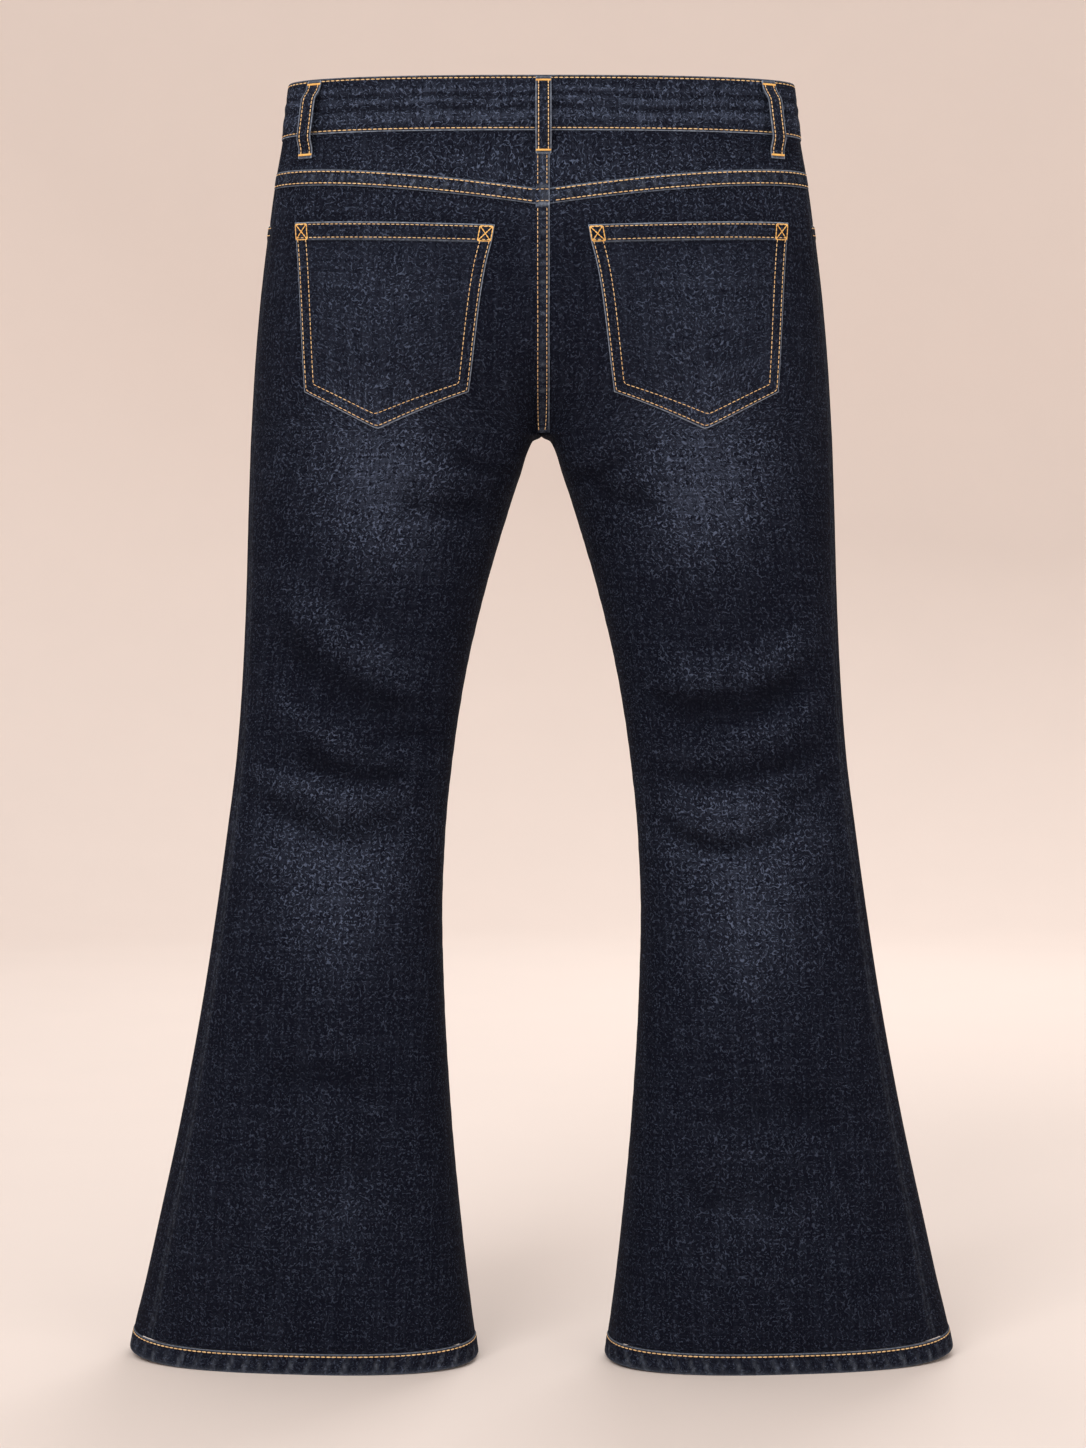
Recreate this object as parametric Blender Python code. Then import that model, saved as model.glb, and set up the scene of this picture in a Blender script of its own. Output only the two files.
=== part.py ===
"""Bootcut jeans of heavy denim, filled out and standing on their two hems.

Metres, +Z up. The back of the jeans faces -Y, the wearer's left is -X, and the hems stand on z = 0.

Every piece of cloth is a closed wall laid on one form. At each height the form has a level section,
worked out from the SECTIONS table: a closed ring round each leg up to the crotch, and above it a
curve that opens at the middle seam and widens to half of the hips. A place on the form is given by
a side (-1 left, 1 right), a height, and an angle that starts at the outer edge, grows to half a turn
through the back to the inner edge, and is negative through the front.
"""

import math
from collections import namedtuple

import bmesh
import bpy
from mathutils import Vector

MM = 0.001
LEFT, RIGHT = -1, 1
BACK, FRONT = 1, -1

# Cloth
CLOTH = 1.5 * MM
DOUBLED = 3.0 * MM
SEAM_GAP = 0.3 * MM
PROUD = 0.7 * MM

# Heights above the floor
WAIST_TOP = 1.040
WAIST_SEAM = 0.995
YOKE_LOW = 0.9335
YOKE_RISE = 0.0205
YOKE_CURVE = 1.6
POCKET_TOP = 0.920
POCKET_CORNER = 0.786
SADDLE = 0.756
HEM_TOP = 0.0172
LEG_END = 0.0182

# Form
SQUARENESS = 2.5
BACK_RISE = 0.150
FRONT_RISE = 0.130
NOTCH_DEPTH = 0.070
NOTCH_POWER = 8
HEM_TURN = math.radians(6.5)
TURN_POWER = 1.5
SIDE_LINE_Y = 0.01034
OUTSEAM_TOP = math.radians(12)
OUTSEAM_SPREAD = math.radians(25.6)
OUTSEAM_HEIGHT = 0.95

# Half widths from the middle plane, and depths from the side line, in millimetres.
Section = namedtuple("Section", "height outer gap back front")
SECTIONS = (
    Section(0, 337.0, 52.0, 68.0, 64.0),
    Section(36, 329.6, 57.0, 67.0, 63.0),
    Section(101, 315.3, 64.8, 64.0, 60.0),
    Section(200, 294.0, 74.2, 59.0, 55.0),
    Section(299, 275.9, 80.0, 54.0, 52.0),
    Section(364, 266.1, 81.6, 50.5, 53.0),
    Section(430, 257.1, 79.1, 48.5, 55.0),
    Section(495, 249.7, 72.6, 50.0, 58.0),
    Section(561, 244.4, 62.3, 56.0, 62.0),
    Section(627, 241.1, 47.0, 65.0, 66.0),
    Section(692, 239.0, 28.0, 74.0, 69.0),
    Section(725, 237.8, 17.2, 79.6, 70.0),
    Section(752.5, 236.7, 7.0, 83.3, 70.0),
    Section(756, 236.5, 0.0, 83.7, 70.0),
    Section(815, 232.9, 0.0, 89.0, 70.0),
    Section(864, 228.8, 0.0, 87.5, 69.0),
    Section(914, 223.0, 0.0, 80.0, 67.0),
    Section(963, 216.3, 0.0, 66.5, 63.0),
    Section(995, 210.8, 0.0, 57.0, 59.0),
    Section(1018, 208.0, 0.0, 53.0, 56.5),
    Section(1040, 205.0, 0.0, 50.5, 54.5),
)

# Levels of the leg panels' rows, in millimetres, from above the hem to the top of the back pocket.
LEVELS = (60, 105, 150, 195, 240, 285, 325, 360, 390, 415, 438, 460, 480, 500, 520, 542, 566, 594,
          628, 664, 700, 730, 752.5, 756, 760, 767, 786, 812, 840, 870, 900)

# The largest folds: where each starts and ends, as a share of the leg's width from its outer edge
# and a height in millimetres, how far its middle bows up, its half width, and its height, which is
# negative for a trough.
Fold = namedtuple("Fold", "side face start start_height end end_height bow reach lift")
FOLDS = (
    Fold(LEFT, BACK, 0.17, 602, 0.88, 522, -18, 17, -5.0),
    Fold(LEFT, BACK, 0.22, 632, 0.70, 572, -12, 17, 2.5),
    Fold(LEFT, BACK, 0.29, 502, 0.84, 482, -9, 14, -4.5),
    Fold(LEFT, BACK, 0.17, 465, 0.88, 457, -20, 15, -4.5),
    Fold(LEFT, BACK, 0.55, 706, 0.94, 697, -6, 13, -3.0),
    Fold(LEFT, BACK, 0.30, 236, 0.78, 230, 8, 20, -2.5),
    Fold(LEFT, BACK, 0.34, 172, 0.80, 178, -8, 22, -3.0),
    Fold(RIGHT, BACK, 0.17, 566, 0.86, 534, -16, 15, -5.0),
    Fold(RIGHT, BACK, 0.15, 596, 0.78, 570, -14, 16, 2.5),
    Fold(RIGHT, BACK, 0.11, 506, 0.90, 483, -12, 14, -4.5),
    Fold(RIGHT, BACK, 0.26, 457, 0.91, 450, -28, 15, -4.5),
    Fold(RIGHT, BACK, 0.66, 705, 0.90, 713, -6, 13, -3.0),
    Fold(RIGHT, BACK, 0.26, 209, 0.66, 205, 8, 20, -2.5),
    Fold(RIGHT, BACK, 0.40, 160, 0.85, 150, -10, 22, -3.0),
    Fold(LEFT, FRONT, 0.30, 760, 0.82, 708, -10, 15, -3.5),
    Fold(LEFT, FRONT, 0.20, 548, 0.74, 530, 10, 17, -3.5),
    Fold(LEFT, FRONT, 0.34, 446, 0.90, 470, -12, 16, -4.0),
    Fold(LEFT, FRONT, 0.22, 150, 0.72, 132, -9, 20, -3.0),
    Fold(RIGHT, FRONT, 0.36, 752, 0.84, 716, -8, 14, -3.5),
    Fold(RIGHT, FRONT, 0.26, 524, 0.80, 546, 9, 16, -3.5),
    Fold(RIGHT, FRONT, 0.18, 468, 0.80, 448, -13, 17, -4.0),
    Fold(RIGHT, FRONT, 0.30, 128, 0.78, 146, -8, 20, -3.0),
)

# Back pocket, in millimetres from the middle plane
POCKET_INNER_TOP, POCKET_INNER_CORNER = 36.5, 57.5
POCKET_OUTER_TOP, POCKET_OUTER_CORNER = 196.5, 187.0
POCKET_POINT_DROP = 0.030
POCKET_TOP_TILT = 0.003
POCKET_BAND = 0.0145
POCKET_LIFT = 0.45 * MM
COLUMNS_OUTSIDE, COLUMNS_POCKET, COLUMNS_INSIDE = 2, 6, 3
ALIGNED_FROM, ALIGNED_FULL = 0.600, POCKET_CORNER
DROP_FROM = 0.690

# Front
SCOOP_FOOT = 0.925
SCOOP_REACH = 118.0
FRONT_COLUMNS, FORK_COLUMNS = 10, 2
FACING_COLUMNS, FACING_FOOT, FACING_DEPTH = 8, 0.900, 2.3 * MM
ZIP_REACH, ZIP_FOOT, ZIP_DEPTH, ZIP_THICK = 15.0, 0.845, 1.9 * MM, 1.6 * MM
SHIELD_REACH, SHIELD_FOOT = 24.0, 0.832
SHIELD_DEPTH = ZIP_DEPTH + ZIP_THICK + 0.4 * MM
BAND_OVER, BAND_UNDER = 3.6, 6.5
BAND_COLUMNS = 52
HEM_COLUMNS = 36

# Belt loops
LOOP_WIDTH = 13 * MM
LOOP_THICK = 1.8 * MM
LOOP_TOP, LOOP_FOOT = 1.0385, 0.9755
LOOP_STANDOFF = 7.0 * MM
LOOP_TACK = 7 * MM
LOOP_SEAT = 0.4 * MM
LOOPS = {
    "loop_back": (RIGHT, BACK, 1.6),
    "loop_left_side": (LEFT, BACK, 186.0),
    "loop_right_side": (RIGHT, BACK, 186.0),
    "loop_left_front": (LEFT, FRONT, 112.0),
    "loop_right_front": (RIGHT, FRONT, 112.0),
}

# Button
BUTTON_RADIUS = 8.5 * MM
BUTTON_THICK = 2.6 * MM
BUTTON_DOME = 0.9 * MM
BUTTON_SIDES = 24


def remove_scene():
    """Empty the scene of every object."""
    for thing in list(bpy.data.objects):
        bpy.data.objects.remove(thing, do_unlink=True)


def finish(name, colour, roughness, metallic=0.0):
    """A plain Principled material."""
    material = bpy.data.materials.new(name)
    material.use_nodes = True
    shader = material.node_tree.nodes["Principled BSDF"]
    shader.inputs["Base Color"].default_value = (*colour, 1.0)
    shader.inputs["Roughness"].default_value = roughness
    shader.inputs["Metallic"].default_value = metallic
    return material


def slope(rows, index, column):
    """The slope of a column at a table row, flat at a peak so that the curve never overshoots."""
    if index in (0, len(rows) - 1):
        other = 1 if index == 0 else index - 1
        return (getattr(rows[other], column) - getattr(rows[index], column)) / (
            rows[other].height - rows[index].height
        )
    before, here, after = rows[index - 1 : index + 2]
    low = (getattr(here, column) - getattr(before, column)) / (here.height - before.height)
    high = (getattr(after, column) - getattr(here, column)) / (after.height - here.height)
    return 2 * low * high / (low + high) if low * high > 0 else 0.0


def section_at(height):
    """The section at a height in metres, on a smooth curve through the table's rows, in metres."""
    level = min(max(height / MM, SECTIONS[0].height), SECTIONS[-1].height)
    index = next(i for i in range(len(SECTIONS) - 1) if level <= SECTIONS[i + 1].height)
    low, high = SECTIONS[index], SECTIONS[index + 1]
    span = high.height - low.height
    t = (level - low.height) / span
    values = []
    for column in Section._fields[1:]:
        a, b = getattr(low, column), getattr(high, column)
        m, n = (slope(SECTIONS, i, column) * span for i in (index, index + 1))
        cubic = (2 * t**3 - 3 * t**2 + 1) * a + (t**3 - 2 * t**2 + t) * m
        cubic += (3 * t**2 - 2 * t**3) * b + (t**3 - t**2) * n
        values.append(cubic * MM)
    return Section(height, *values)


def squared(share):
    """How far out the other axis is where a unit section is this share out on one axis."""
    return max(0.0, 1 - abs(share) ** SQUARENESS) ** (1 / SQUARENESS)


def closing_share(height, face):
    """How far a section's back or front still closes between the legs, from 1 to 0 up the rise."""
    return 1 - smooth(SADDLE, SADDLE + (BACK_RISE if face == BACK else FRONT_RISE), height)


def half_section(height, face):
    """(half width, middle, closing angle) of a section's back or front half."""
    section = section_at(height)
    if height <= SADDLE:
        gap = section.gap * leg_share(height)
        return (section.outer - gap) / 2, (section.outer + gap) / 2, math.pi
    closing = closing_share(height, face)
    half = section.outer / (1 + closing)
    return half, closing * half, math.atan2(squared(closing), -closing)


def leg_share(height):
    """How much of the gap between the legs moves the whole section: all of it, but near the crotch."""
    return smooth(SADDLE, SADDLE - NOTCH_DEPTH, height)


def angle_at(across, height, face):
    """The angle where the form is this far from the middle plane, in metres."""
    half, middle, _ = half_section(height, face)
    share = min(1.0, (across - middle) / half)
    return face * math.atan2(squared(share), share)


def outseam(height):
    """The outseam's angle: it turns towards the back as it runs down."""
    below = max(0.0, 1 - height / OUTSEAM_HEIGHT)
    return OUTSEAM_TOP + OUTSEAM_SPREAD * below**0.6


def smooth(start, end, value):
    """0 before start, 1 after end, and a smooth step between them."""
    t = min(1.0, max(0.0, (value - start) / (end - start)))
    return t * t * (3 - 2 * t)


def bare_form(side, height, angle):
    """The form's point without folds."""
    half, middle, _ = half_section(height, BACK if angle >= 0 else FRONT)
    section = section_at(height)
    cosine, sine = math.cos(angle), math.sin(angle)
    reach = (abs(cosine) ** SQUARENESS + abs(sine) ** SQUARENESS) ** (1 / SQUARENESS)
    x = half * cosine / reach
    if cosine < 0:
        x += section.gap * (1 - leg_share(height)) * abs(cosine / reach) ** NOTCH_POWER
    y = -(section.back if angle >= 0 else section.front) * sine / reach
    turn = HEM_TURN * max(0.0, 1 - height / SADDLE) ** TURN_POWER
    turned = x * math.cos(turn) - y * math.sin(turn)
    y = x * math.sin(turn) + y * math.cos(turn)
    return Vector((side * (middle + turned), SIDE_LINE_Y + y, height))


def outward(side, height, angle):
    """The form's unit normal, from points a little way around it."""
    by_angle = bare_form(side, height, angle + 0.01) - bare_form(side, height, angle - 0.01)
    by_height = bare_form(side, height + 0.002, angle) - bare_form(side, height - 0.002, angle)
    return (by_height.cross(by_angle) * side).normalized()


def fold_lift(side, height, angle):
    """How far the folds move the cloth out."""
    face = BACK if angle >= 0 else FRONT
    reach = (abs(math.cos(angle)) ** SQUARENESS + abs(math.sin(angle)) ** SQUARENESS) ** (
        1 / SQUARENESS
    )
    share = (1 - math.cos(angle) / reach) / 2
    width = 2 * half_section(height, face)[0] / MM
    lift = 0.0
    for fold in FOLDS:
        if (fold.side, fold.face) != (side, face):
            continue
        run, rise = (fold.end - fold.start) * width, fold.end_height - fold.start_height
        across, up = (share - fold.start) * width, height / MM - fold.start_height
        t = min(1.0, max(0.0, (across * run + up * rise) / (run**2 + rise**2)))
        away = math.hypot(across - t * run, up - t * rise - fold.bow * 4 * t * (1 - t))
        ends = min(1.0, 4 * t * (1 - t) + 0.25)
        lift += fold.lift * MM * ends * math.exp(-((away / fold.reach) ** 2))
    return lift * min(1.0, 1.4 * abs(math.sin(angle)))


def cloth_point(side, height, angle, depth):
    """A point this deep inside the folded form, kept on its own side of the middle plane."""
    normal = outward(side, height, angle)
    point = bare_form(side, height, angle) + normal * (fold_lift(side, height, angle) - depth)
    point.x = side * max(side * point.x, SEAM_GAP / 2)
    return point


def level_point(side, height, angle, depth):
    """As cloth_point, but moved straight inwards, so that an edge at one height stays level."""
    normal = outward(side, height, angle)
    flat = Vector((normal.x, normal.y, 0)).normalized()
    return bare_form(side, height, angle) - flat * depth


def cloth_solid(name, layers, material, wraps=False, seams=""):
    """A closed wall between an outer and an inner grid of points, each a list of rows of columns.

    seams names the edges that are drawn back from a neighbour: l and r for the first and last
    column, b and t for the first and last row.
    """
    for grid in layers:
        if "l" in seams or "r" in seams:
            for row in grid:
                for edge, inside, key in ((0, 1, "l"), (-1, -2, "r")):
                    if key in seams:
                        row[edge] += (row[inside] - row[edge]).normalized() * SEAM_GAP / 2
        for edge, inside, key in ((0, 1, "b"), (-1, -2, "t")):
            if key in seams:
                shifts = [(b - a).normalized() * SEAM_GAP / 2 for a, b in zip(grid[edge], grid[inside])]
                grid[edge] = [a + shift for a, shift in zip(grid[edge], shifts)]
    mesh = bmesh.new()
    outer, inner = ([[mesh.verts.new(p) for p in row] for row in grid] for grid in layers)
    rows, columns = len(outer), len(outer[0])
    spans = range(columns if wraps else columns - 1)
    for j in range(rows - 1):
        for i in spans:
            k = (i + 1) % columns
            mesh.faces.new((outer[j][i], outer[j][k], outer[j + 1][k], outer[j + 1][i]))
            mesh.faces.new((inner[j][i], inner[j + 1][i], inner[j + 1][k], inner[j][k]))
        if not wraps:
            for i in (0, columns - 1):
                mesh.faces.new((outer[j][i], outer[j + 1][i], inner[j + 1][i], inner[j][i]))
    for j in (0, rows - 1):
        for i in spans:
            k = (i + 1) % columns
            mesh.faces.new((outer[j][i], outer[j][k], inner[j][k], inner[j][i]))
    return placed(name, mesh, material)


def placed(name, mesh, material):
    """The named object of a bmesh, with its faces turned out and its round parts shaded smooth."""
    bmesh.ops.recalc_face_normals(mesh, faces=mesh.faces)
    data = bpy.data.meshes.new(name)
    mesh.to_mesh(data)
    mesh.free()
    data.shade_smooth()
    data.set_sharp_from_angle(angle=math.radians(40))
    data.materials.append(material)
    thing = bpy.data.objects.new(name, data)
    bpy.context.scene.collection.objects.link(thing)
    return thing


def between(start, end, share):
    """A value this share of the way from start to end."""
    return start + (end - start) * share


def pocket_edges(height):
    """The angles of the back pocket's outer and inner edges at a height."""
    share = (height - POCKET_CORNER) / (POCKET_TOP - POCKET_CORNER)
    outer = between(POCKET_OUTER_CORNER, POCKET_OUTER_TOP, share) * MM
    inner = between(POCKET_INNER_CORNER, POCKET_INNER_TOP, share) * MM
    return angle_at(outer, height, BACK), angle_at(inner, height, BACK)


def even_end(height, face):
    """The angle that even columns run to: the closing angle, without the crotch's quick curve."""
    return face * math.pi * (1 + closing_share(height, face)) / 2


def back_angles(height):
    """The angles of the back's columns: even down the leg, and along the pocket's edges beside it."""
    count = COLUMNS_OUTSIDE + COLUMNS_POCKET + COLUMNS_INSIDE
    start, end = outseam(height), even_end(height, BACK)
    level = min(max(height, POCKET_CORNER), POCKET_TOP)
    first, last = outseam(level), even_end(level, BACK)
    marks = [0.0] + [(edge - first) / (last - first) for edge in pocket_edges(level)]
    shares = [0.0]
    for number, low, high in zip((COLUMNS_OUTSIDE, COLUMNS_POCKET), marks, marks[1:]):
        shares += [between(low, high, (i + 1) / number) for i in range(number)]
    follow = smooth(ALIGNED_FROM, ALIGNED_FULL, height)
    angles = [between(start, end, between(i / count, s, follow)) for i, s in enumerate(shares)]
    inner, seam = angles[-1], half_section(height, BACK)[2]
    return angles + [between(inner, seam, (i + 1) / COLUMNS_INSIDE) for i in range(COLUMNS_INSIDE)]


def yoke_seam(angle):
    """The height of the seam under the yoke: lowest at the middle, and level towards the side."""
    cosine, sine = abs(math.cos(angle)), abs(math.sin(angle))
    share = cosine / (cosine**SQUARENESS + sine**SQUARENESS) ** (1 / SQUARENESS)
    return YOKE_LOW + YOKE_RISE * (1 - (1 - share) ** YOKE_CURVE)


def back_height(column, level):
    """A row's height at a column: rows follow the pocket's pointed foot and its tilted top."""
    inside = (column - COLUMNS_OUTSIDE) / COLUMNS_POCKET
    drop = POCKET_POINT_DROP * max(0.0, 1 - abs(2 * inside - 1)) if 0 <= inside <= 1 else 0.0
    tilt = POCKET_TOP_TILT * (1 - 2 * inside) if 0 <= inside <= 1 else 0.0
    up = (level - POCKET_CORNER) / (POCKET_TOP - POCKET_CORNER)
    if level <= POCKET_CORNER:
        return level - drop * max(0.0, (level - DROP_FROM) / (POCKET_CORNER - DROP_FROM))
    return level - drop * (1 - up) + tilt * max(0.0, up)


def back_grid(side, levels, columns, depth):
    """Points of the back at the named columns, for each level."""
    rows = []
    for level in levels:
        angles = back_angles(level)
        rows.append([cloth_point(side, back_height(i, level), angles[i], depth) for i in columns])
    return rows


def seam_row(side, depth):
    """The back's points along the seam under the yoke."""
    return [cloth_point(side, yoke_seam(a), a, depth) for a in back_angles(POCKET_TOP + 0.02)]


def back_panel(side, material):
    """The back of a leg, from above the hem to the seam under the yoke."""
    levels = [LEG_END] + [level * MM for level in LEVELS] + [POCKET_TOP]
    columns = range(COLUMNS_OUTSIDE + COLUMNS_POCKET + COLUMNS_INSIDE + 1)
    layers = [back_grid(side, levels, columns, d) + [seam_row(side, d)] for d in (0.0, CLOTH)]
    return cloth_solid(f"{side_name(side)}_back_panel", layers, material, seams="lrt")


def yoke(side, material):
    """The yoke between the back panel and the waistband."""
    angles = back_angles(POCKET_TOP + 0.02)
    layers = []
    for depth in (0.0, CLOTH):
        rows = []
        for share in (0.0, 0.5, 1.0):
            top = WAIST_SEAM - SEAM_GAP
            rows.append([cloth_point(side, between(yoke_seam(a), top, share), a, depth) for a in angles])
        layers.append(rows)
    return cloth_solid(f"{side_name(side)}_yoke", layers, material, seams="lrb")


def back_pocket(side, material):
    """The patch pocket, on the panel's own points moved out, with a doubled band along its top."""
    columns = range(COLUMNS_OUTSIDE, COLUMNS_OUTSIDE + COLUMNS_POCKET + 1)
    band = POCKET_TOP - POCKET_BAND
    body = [level * MM for level in LEVELS if POCKET_CORNER <= level * MM < band - 0.004]
    levels = body + [band - PROUD, band, POCKET_TOP]
    seat = -POCKET_LIFT
    outer = back_grid(side, body + [band - PROUD], columns, seat - CLOTH)
    outer += back_grid(side, [band, POCKET_TOP], columns, seat - CLOTH - PROUD)
    layers = [outer, back_grid(side, levels, columns, seat)]
    return cloth_solid(f"{side_name(side)}_back_pocket", layers, material)


def front_top(angle):
    """The front panel's top edge: the hand pocket's scoop up from the outseam, then the waistband."""
    reach = angle_at(SCOOP_REACH * MM, WAIST_SEAM, FRONT)
    across = min(1.0, (outseam(SCOOP_FOOT) - angle) / (outseam(SCOOP_FOOT) - reach))
    return between(SCOOP_FOOT, WAIST_SEAM - SEAM_GAP, 1 - math.sqrt(1 - across**2))


def front_angles(height, columns=FRONT_COLUMNS):
    """The angles of the front's first columns, from the outseam towards the closing edge."""
    start, seam = outseam(height), -half_section(height, FRONT)[2]
    even = FRONT_COLUMNS - FORK_COLUMNS
    last = between(start, even_end(height, FRONT), even / FRONT_COLUMNS)
    angles = [between(start, last, i / even) for i in range(even + 1)]
    angles += [between(last, seam, (i + 1) / FORK_COLUMNS) for i in range(FORK_COLUMNS)]
    return angles[: columns + 1]


def front_panel(side, material):
    """The front of a leg, with the hand pocket's scoop cut from its top corner."""
    levels = [LEG_END] + [level * MM for level in LEVELS]
    layers = []
    for depth in (0.0, CLOTH):
        rows = [[cloth_point(side, h, angle, depth) for angle in front_angles(h)] for h in levels]
        for share in (0.3, 0.65, 1.0):
            angles = front_angles(between(levels[-1], SCOOP_FOOT, share))
            heights = [between(levels[-1], front_top(angle), share) for angle in angles]
            rows.append([cloth_point(side, h, angle, depth) for h, angle in zip(heights, angles)])
        layers.append(rows)
    return cloth_solid(f"{side_name(side)}_front_panel", layers, material, seams="lr")


def pocket_facing(side, material):
    """The denim that shows inside the hand pocket's scoop, behind the front's own points."""
    top = WAIST_SEAM - 2 * SEAM_GAP
    layers = []
    for depth in (FACING_DEPTH, FACING_DEPTH + CLOTH):
        rows = []
        for height in (FACING_FOOT, SCOOP_FOOT, between(SCOOP_FOOT, top, 0.5), top):
            angles = front_angles(height, FACING_COLUMNS)
            rows.append([cloth_point(side, height, angle, depth) for angle in angles])
        layers.append(rows)
    return cloth_solid(f"{side_name(side)}_pocket_facing", layers, material, seams="l")


def middle_strip(name, reach, foot, depth, thickness, material):
    """A strip behind the fly that crosses the middle plane."""
    layers = []
    for layer in (depth, depth + thickness):
        rows = []
        for share in (0, 1 / 3, 2 / 3, 1):
            height = between(foot, WAIST_SEAM - 2 * SEAM_GAP, share)
            row = []
            for across in (-1, -0.5, 0, 0.5, 1):
                side = LEFT if across < 0 else RIGHT
                angle = angle_at(abs(across) * reach * MM, height, FRONT)
                point = bare_form(side, height, angle)
                row.append(point - outward(side, height, angle) * layer)
            rows.append(row)
        layers.append(rows)
    return cloth_solid(name, layers, material)


def around(degrees):
    """(side, angle) this far round the waist from the middle of the front, over the left side."""
    degrees %= 360
    if degrees < 180:
        return LEFT, math.radians(degrees - 90)
    return RIGHT, math.radians(270 - degrees)


def waistband(material):
    """The doubled band, from its over end at the front, round the back, to the end under it."""
    start, end = -BAND_OVER, 360 + BAND_UNDER
    layers = []
    for layer in (-PROUD, DOUBLED - PROUD):
        rows = []
        for height in (WAIST_SEAM, between(WAIST_SEAM, WAIST_TOP, 0.5), WAIST_TOP):
            row = []
            for i in range(BAND_COLUMNS + 1):
                degrees = between(start, end, i / BAND_COLUMNS)
                under = smooth(340, 360 - BAND_OVER - 3, degrees) * (DOUBLED + SEAM_GAP)
                side, angle = around(degrees)
                row.append(level_point(side, height, angle, layer + under))
            rows.append(row)
        layers.append(rows)
    return cloth_solid("waistband", layers, material)


def hem(side, material):
    """The turned-up end of a leg, flat under foot."""
    layers = []
    for layer in (-PROUD, DOUBLED - PROUD):
        rows = []
        for height in (0.0, HEM_TOP):
            angles = [2 * math.pi * i / HEM_COLUMNS - math.pi for i in range(HEM_COLUMNS)]
            rows.append([level_point(side, height, angle, layer) for angle in angles])
        layers.append(rows)
    return cloth_solid(f"{side_name(side)}_hem", layers, material, wraps=True)


def belt_loop(name, side, face, across, material):
    """A strap tacked over the waistband's top edge and below its seam, standing clear between."""
    angle = angle_at(across * MM, WAIST_SEAM, face)
    top, foot = (level_point(side, h, angle, 0.0) for h in (LOOP_TOP, LOOP_FOOT))
    normal = outward(side, WAIST_SEAM, angle)
    out = Vector((normal.x, normal.y, 0)).normalized()
    along = Vector((-out.y, out.x, 0))
    length = LOOP_TOP - LOOP_FOOT
    profile = (
        (0.0, LOOP_SEAT),
        (LOOP_TACK, LOOP_SEAT + 0.2 * MM),
        (LOOP_TACK + 9 * MM, LOOP_STANDOFF),
        (length / 2, LOOP_STANDOFF + 0.3 * MM),
        (length - LOOP_TACK - 8 * MM, LOOP_STANDOFF + PROUD),
        (length - LOOP_TACK, LOOP_SEAT + PROUD + 0.3 * MM),
        (length, LOOP_SEAT + PROUD),
    )
    layers = []
    for layer in (LOOP_THICK, 0.0):
        rows = []
        for up, off in profile:
            base = foot.lerp(top, up / length) + out * (off + layer)
            base.z = LOOP_FOOT + up
            rows.append([base + along * (LOOP_WIDTH * share) for share in (-0.5, 0.0, 0.5)])
        layers.append(rows)
    return cloth_solid(name, layers, material)


def waist_button(material):
    """A domed button on the waistband's over end."""
    height, middle = (WAIST_SEAM + WAIST_TOP) / 2, -math.pi / 2
    out = outward(LEFT, height, middle)
    face = bare_form(LEFT, height, middle) + out * (PROUD + SEAM_GAP)
    across = Vector((1, 0, 0))
    up = across.cross(out)
    rings = (
        (BUTTON_RADIUS * 0.55, 0.0),
        (BUTTON_RADIUS * 0.60, BUTTON_THICK * 0.4),
        (BUTTON_RADIUS, BUTTON_THICK * 0.45),
        (BUTTON_RADIUS, BUTTON_THICK * 0.85),
        (BUTTON_RADIUS * 0.85, BUTTON_THICK),
        (BUTTON_RADIUS * 0.4, BUTTON_THICK + BUTTON_DOME * 0.75),
    )
    mesh = bmesh.new()
    loops = []
    for radius, rise in rings:
        turns = [2 * math.pi * i / BUTTON_SIDES for i in range(BUTTON_SIDES)]
        spots = [(across * math.cos(t) + up * math.sin(t)) * radius + out * rise for t in turns]
        loops.append([mesh.verts.new(face + spot) for spot in spots])
    for low, high in zip(loops, loops[1:]):
        for i in range(BUTTON_SIDES):
            k = (i + 1) % BUTTON_SIDES
            mesh.faces.new((low[i], low[k], high[k], high[i]))
    mesh.faces.new(loops[0])
    crown = mesh.verts.new(face + out * (BUTTON_THICK + BUTTON_DOME))
    for i in range(BUTTON_SIDES):
        mesh.faces.new((loops[-1][i], loops[-1][(i + 1) % BUTTON_SIDES], crown))
    return placed("waist_button", mesh, material)


def side_name(side):
    """The wearer's side as a word."""
    return "left" if side == LEFT else "right"


def main():
    """Build every piece of the jeans."""
    remove_scene()
    denim = finish("denim", (0.012, 0.018, 0.036), 0.9)
    doubled = finish("doubled_denim", (0.014, 0.020, 0.040), 0.88)
    tape = finish("zip_tape", (0.010, 0.013, 0.024), 0.8)
    metal = finish("button_metal", (0.55, 0.38, 0.22), 0.35, 1.0)
    for side in (LEFT, RIGHT):
        back_panel(side, denim)
        front_panel(side, denim)
        yoke(side, denim)
        back_pocket(side, doubled)
        pocket_facing(side, denim)
        hem(side, doubled)
    waistband(doubled)
    for name, (side, face, across) in LOOPS.items():
        belt_loop(name, side, face, across, doubled)
    middle_strip("fly_zip", ZIP_REACH, ZIP_FOOT, ZIP_DEPTH, ZIP_THICK, tape)
    middle_strip("fly_shield", SHIELD_REACH, SHIELD_FOOT, SHIELD_DEPTH, CLOTH, denim)
    waist_button(metal)


main()
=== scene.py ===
"""Bootcut jeans of worn dark denim, filled out and standing on their two hems.

Metres, +Z up. The back of the jeans faces -Y and the wearer's left is -X. Every piece of cloth is a
thin shell on one form, worked out from the SECTIONS table. A place on the form is a side, a height
and an angle that starts at the outer edge, grows through the back to half a turn at the inner edge,
and is negative through the front.
"""

import logging
import math
from dataclasses import dataclass, field
from enum import Enum, IntEnum
from typing import Any, Callable, Iterable, NamedTuple, Optional

import bmesh
import bpy
import numpy as np
from mathutils import Matrix, Vector
from mathutils.bvhtree import BVHTree


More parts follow.
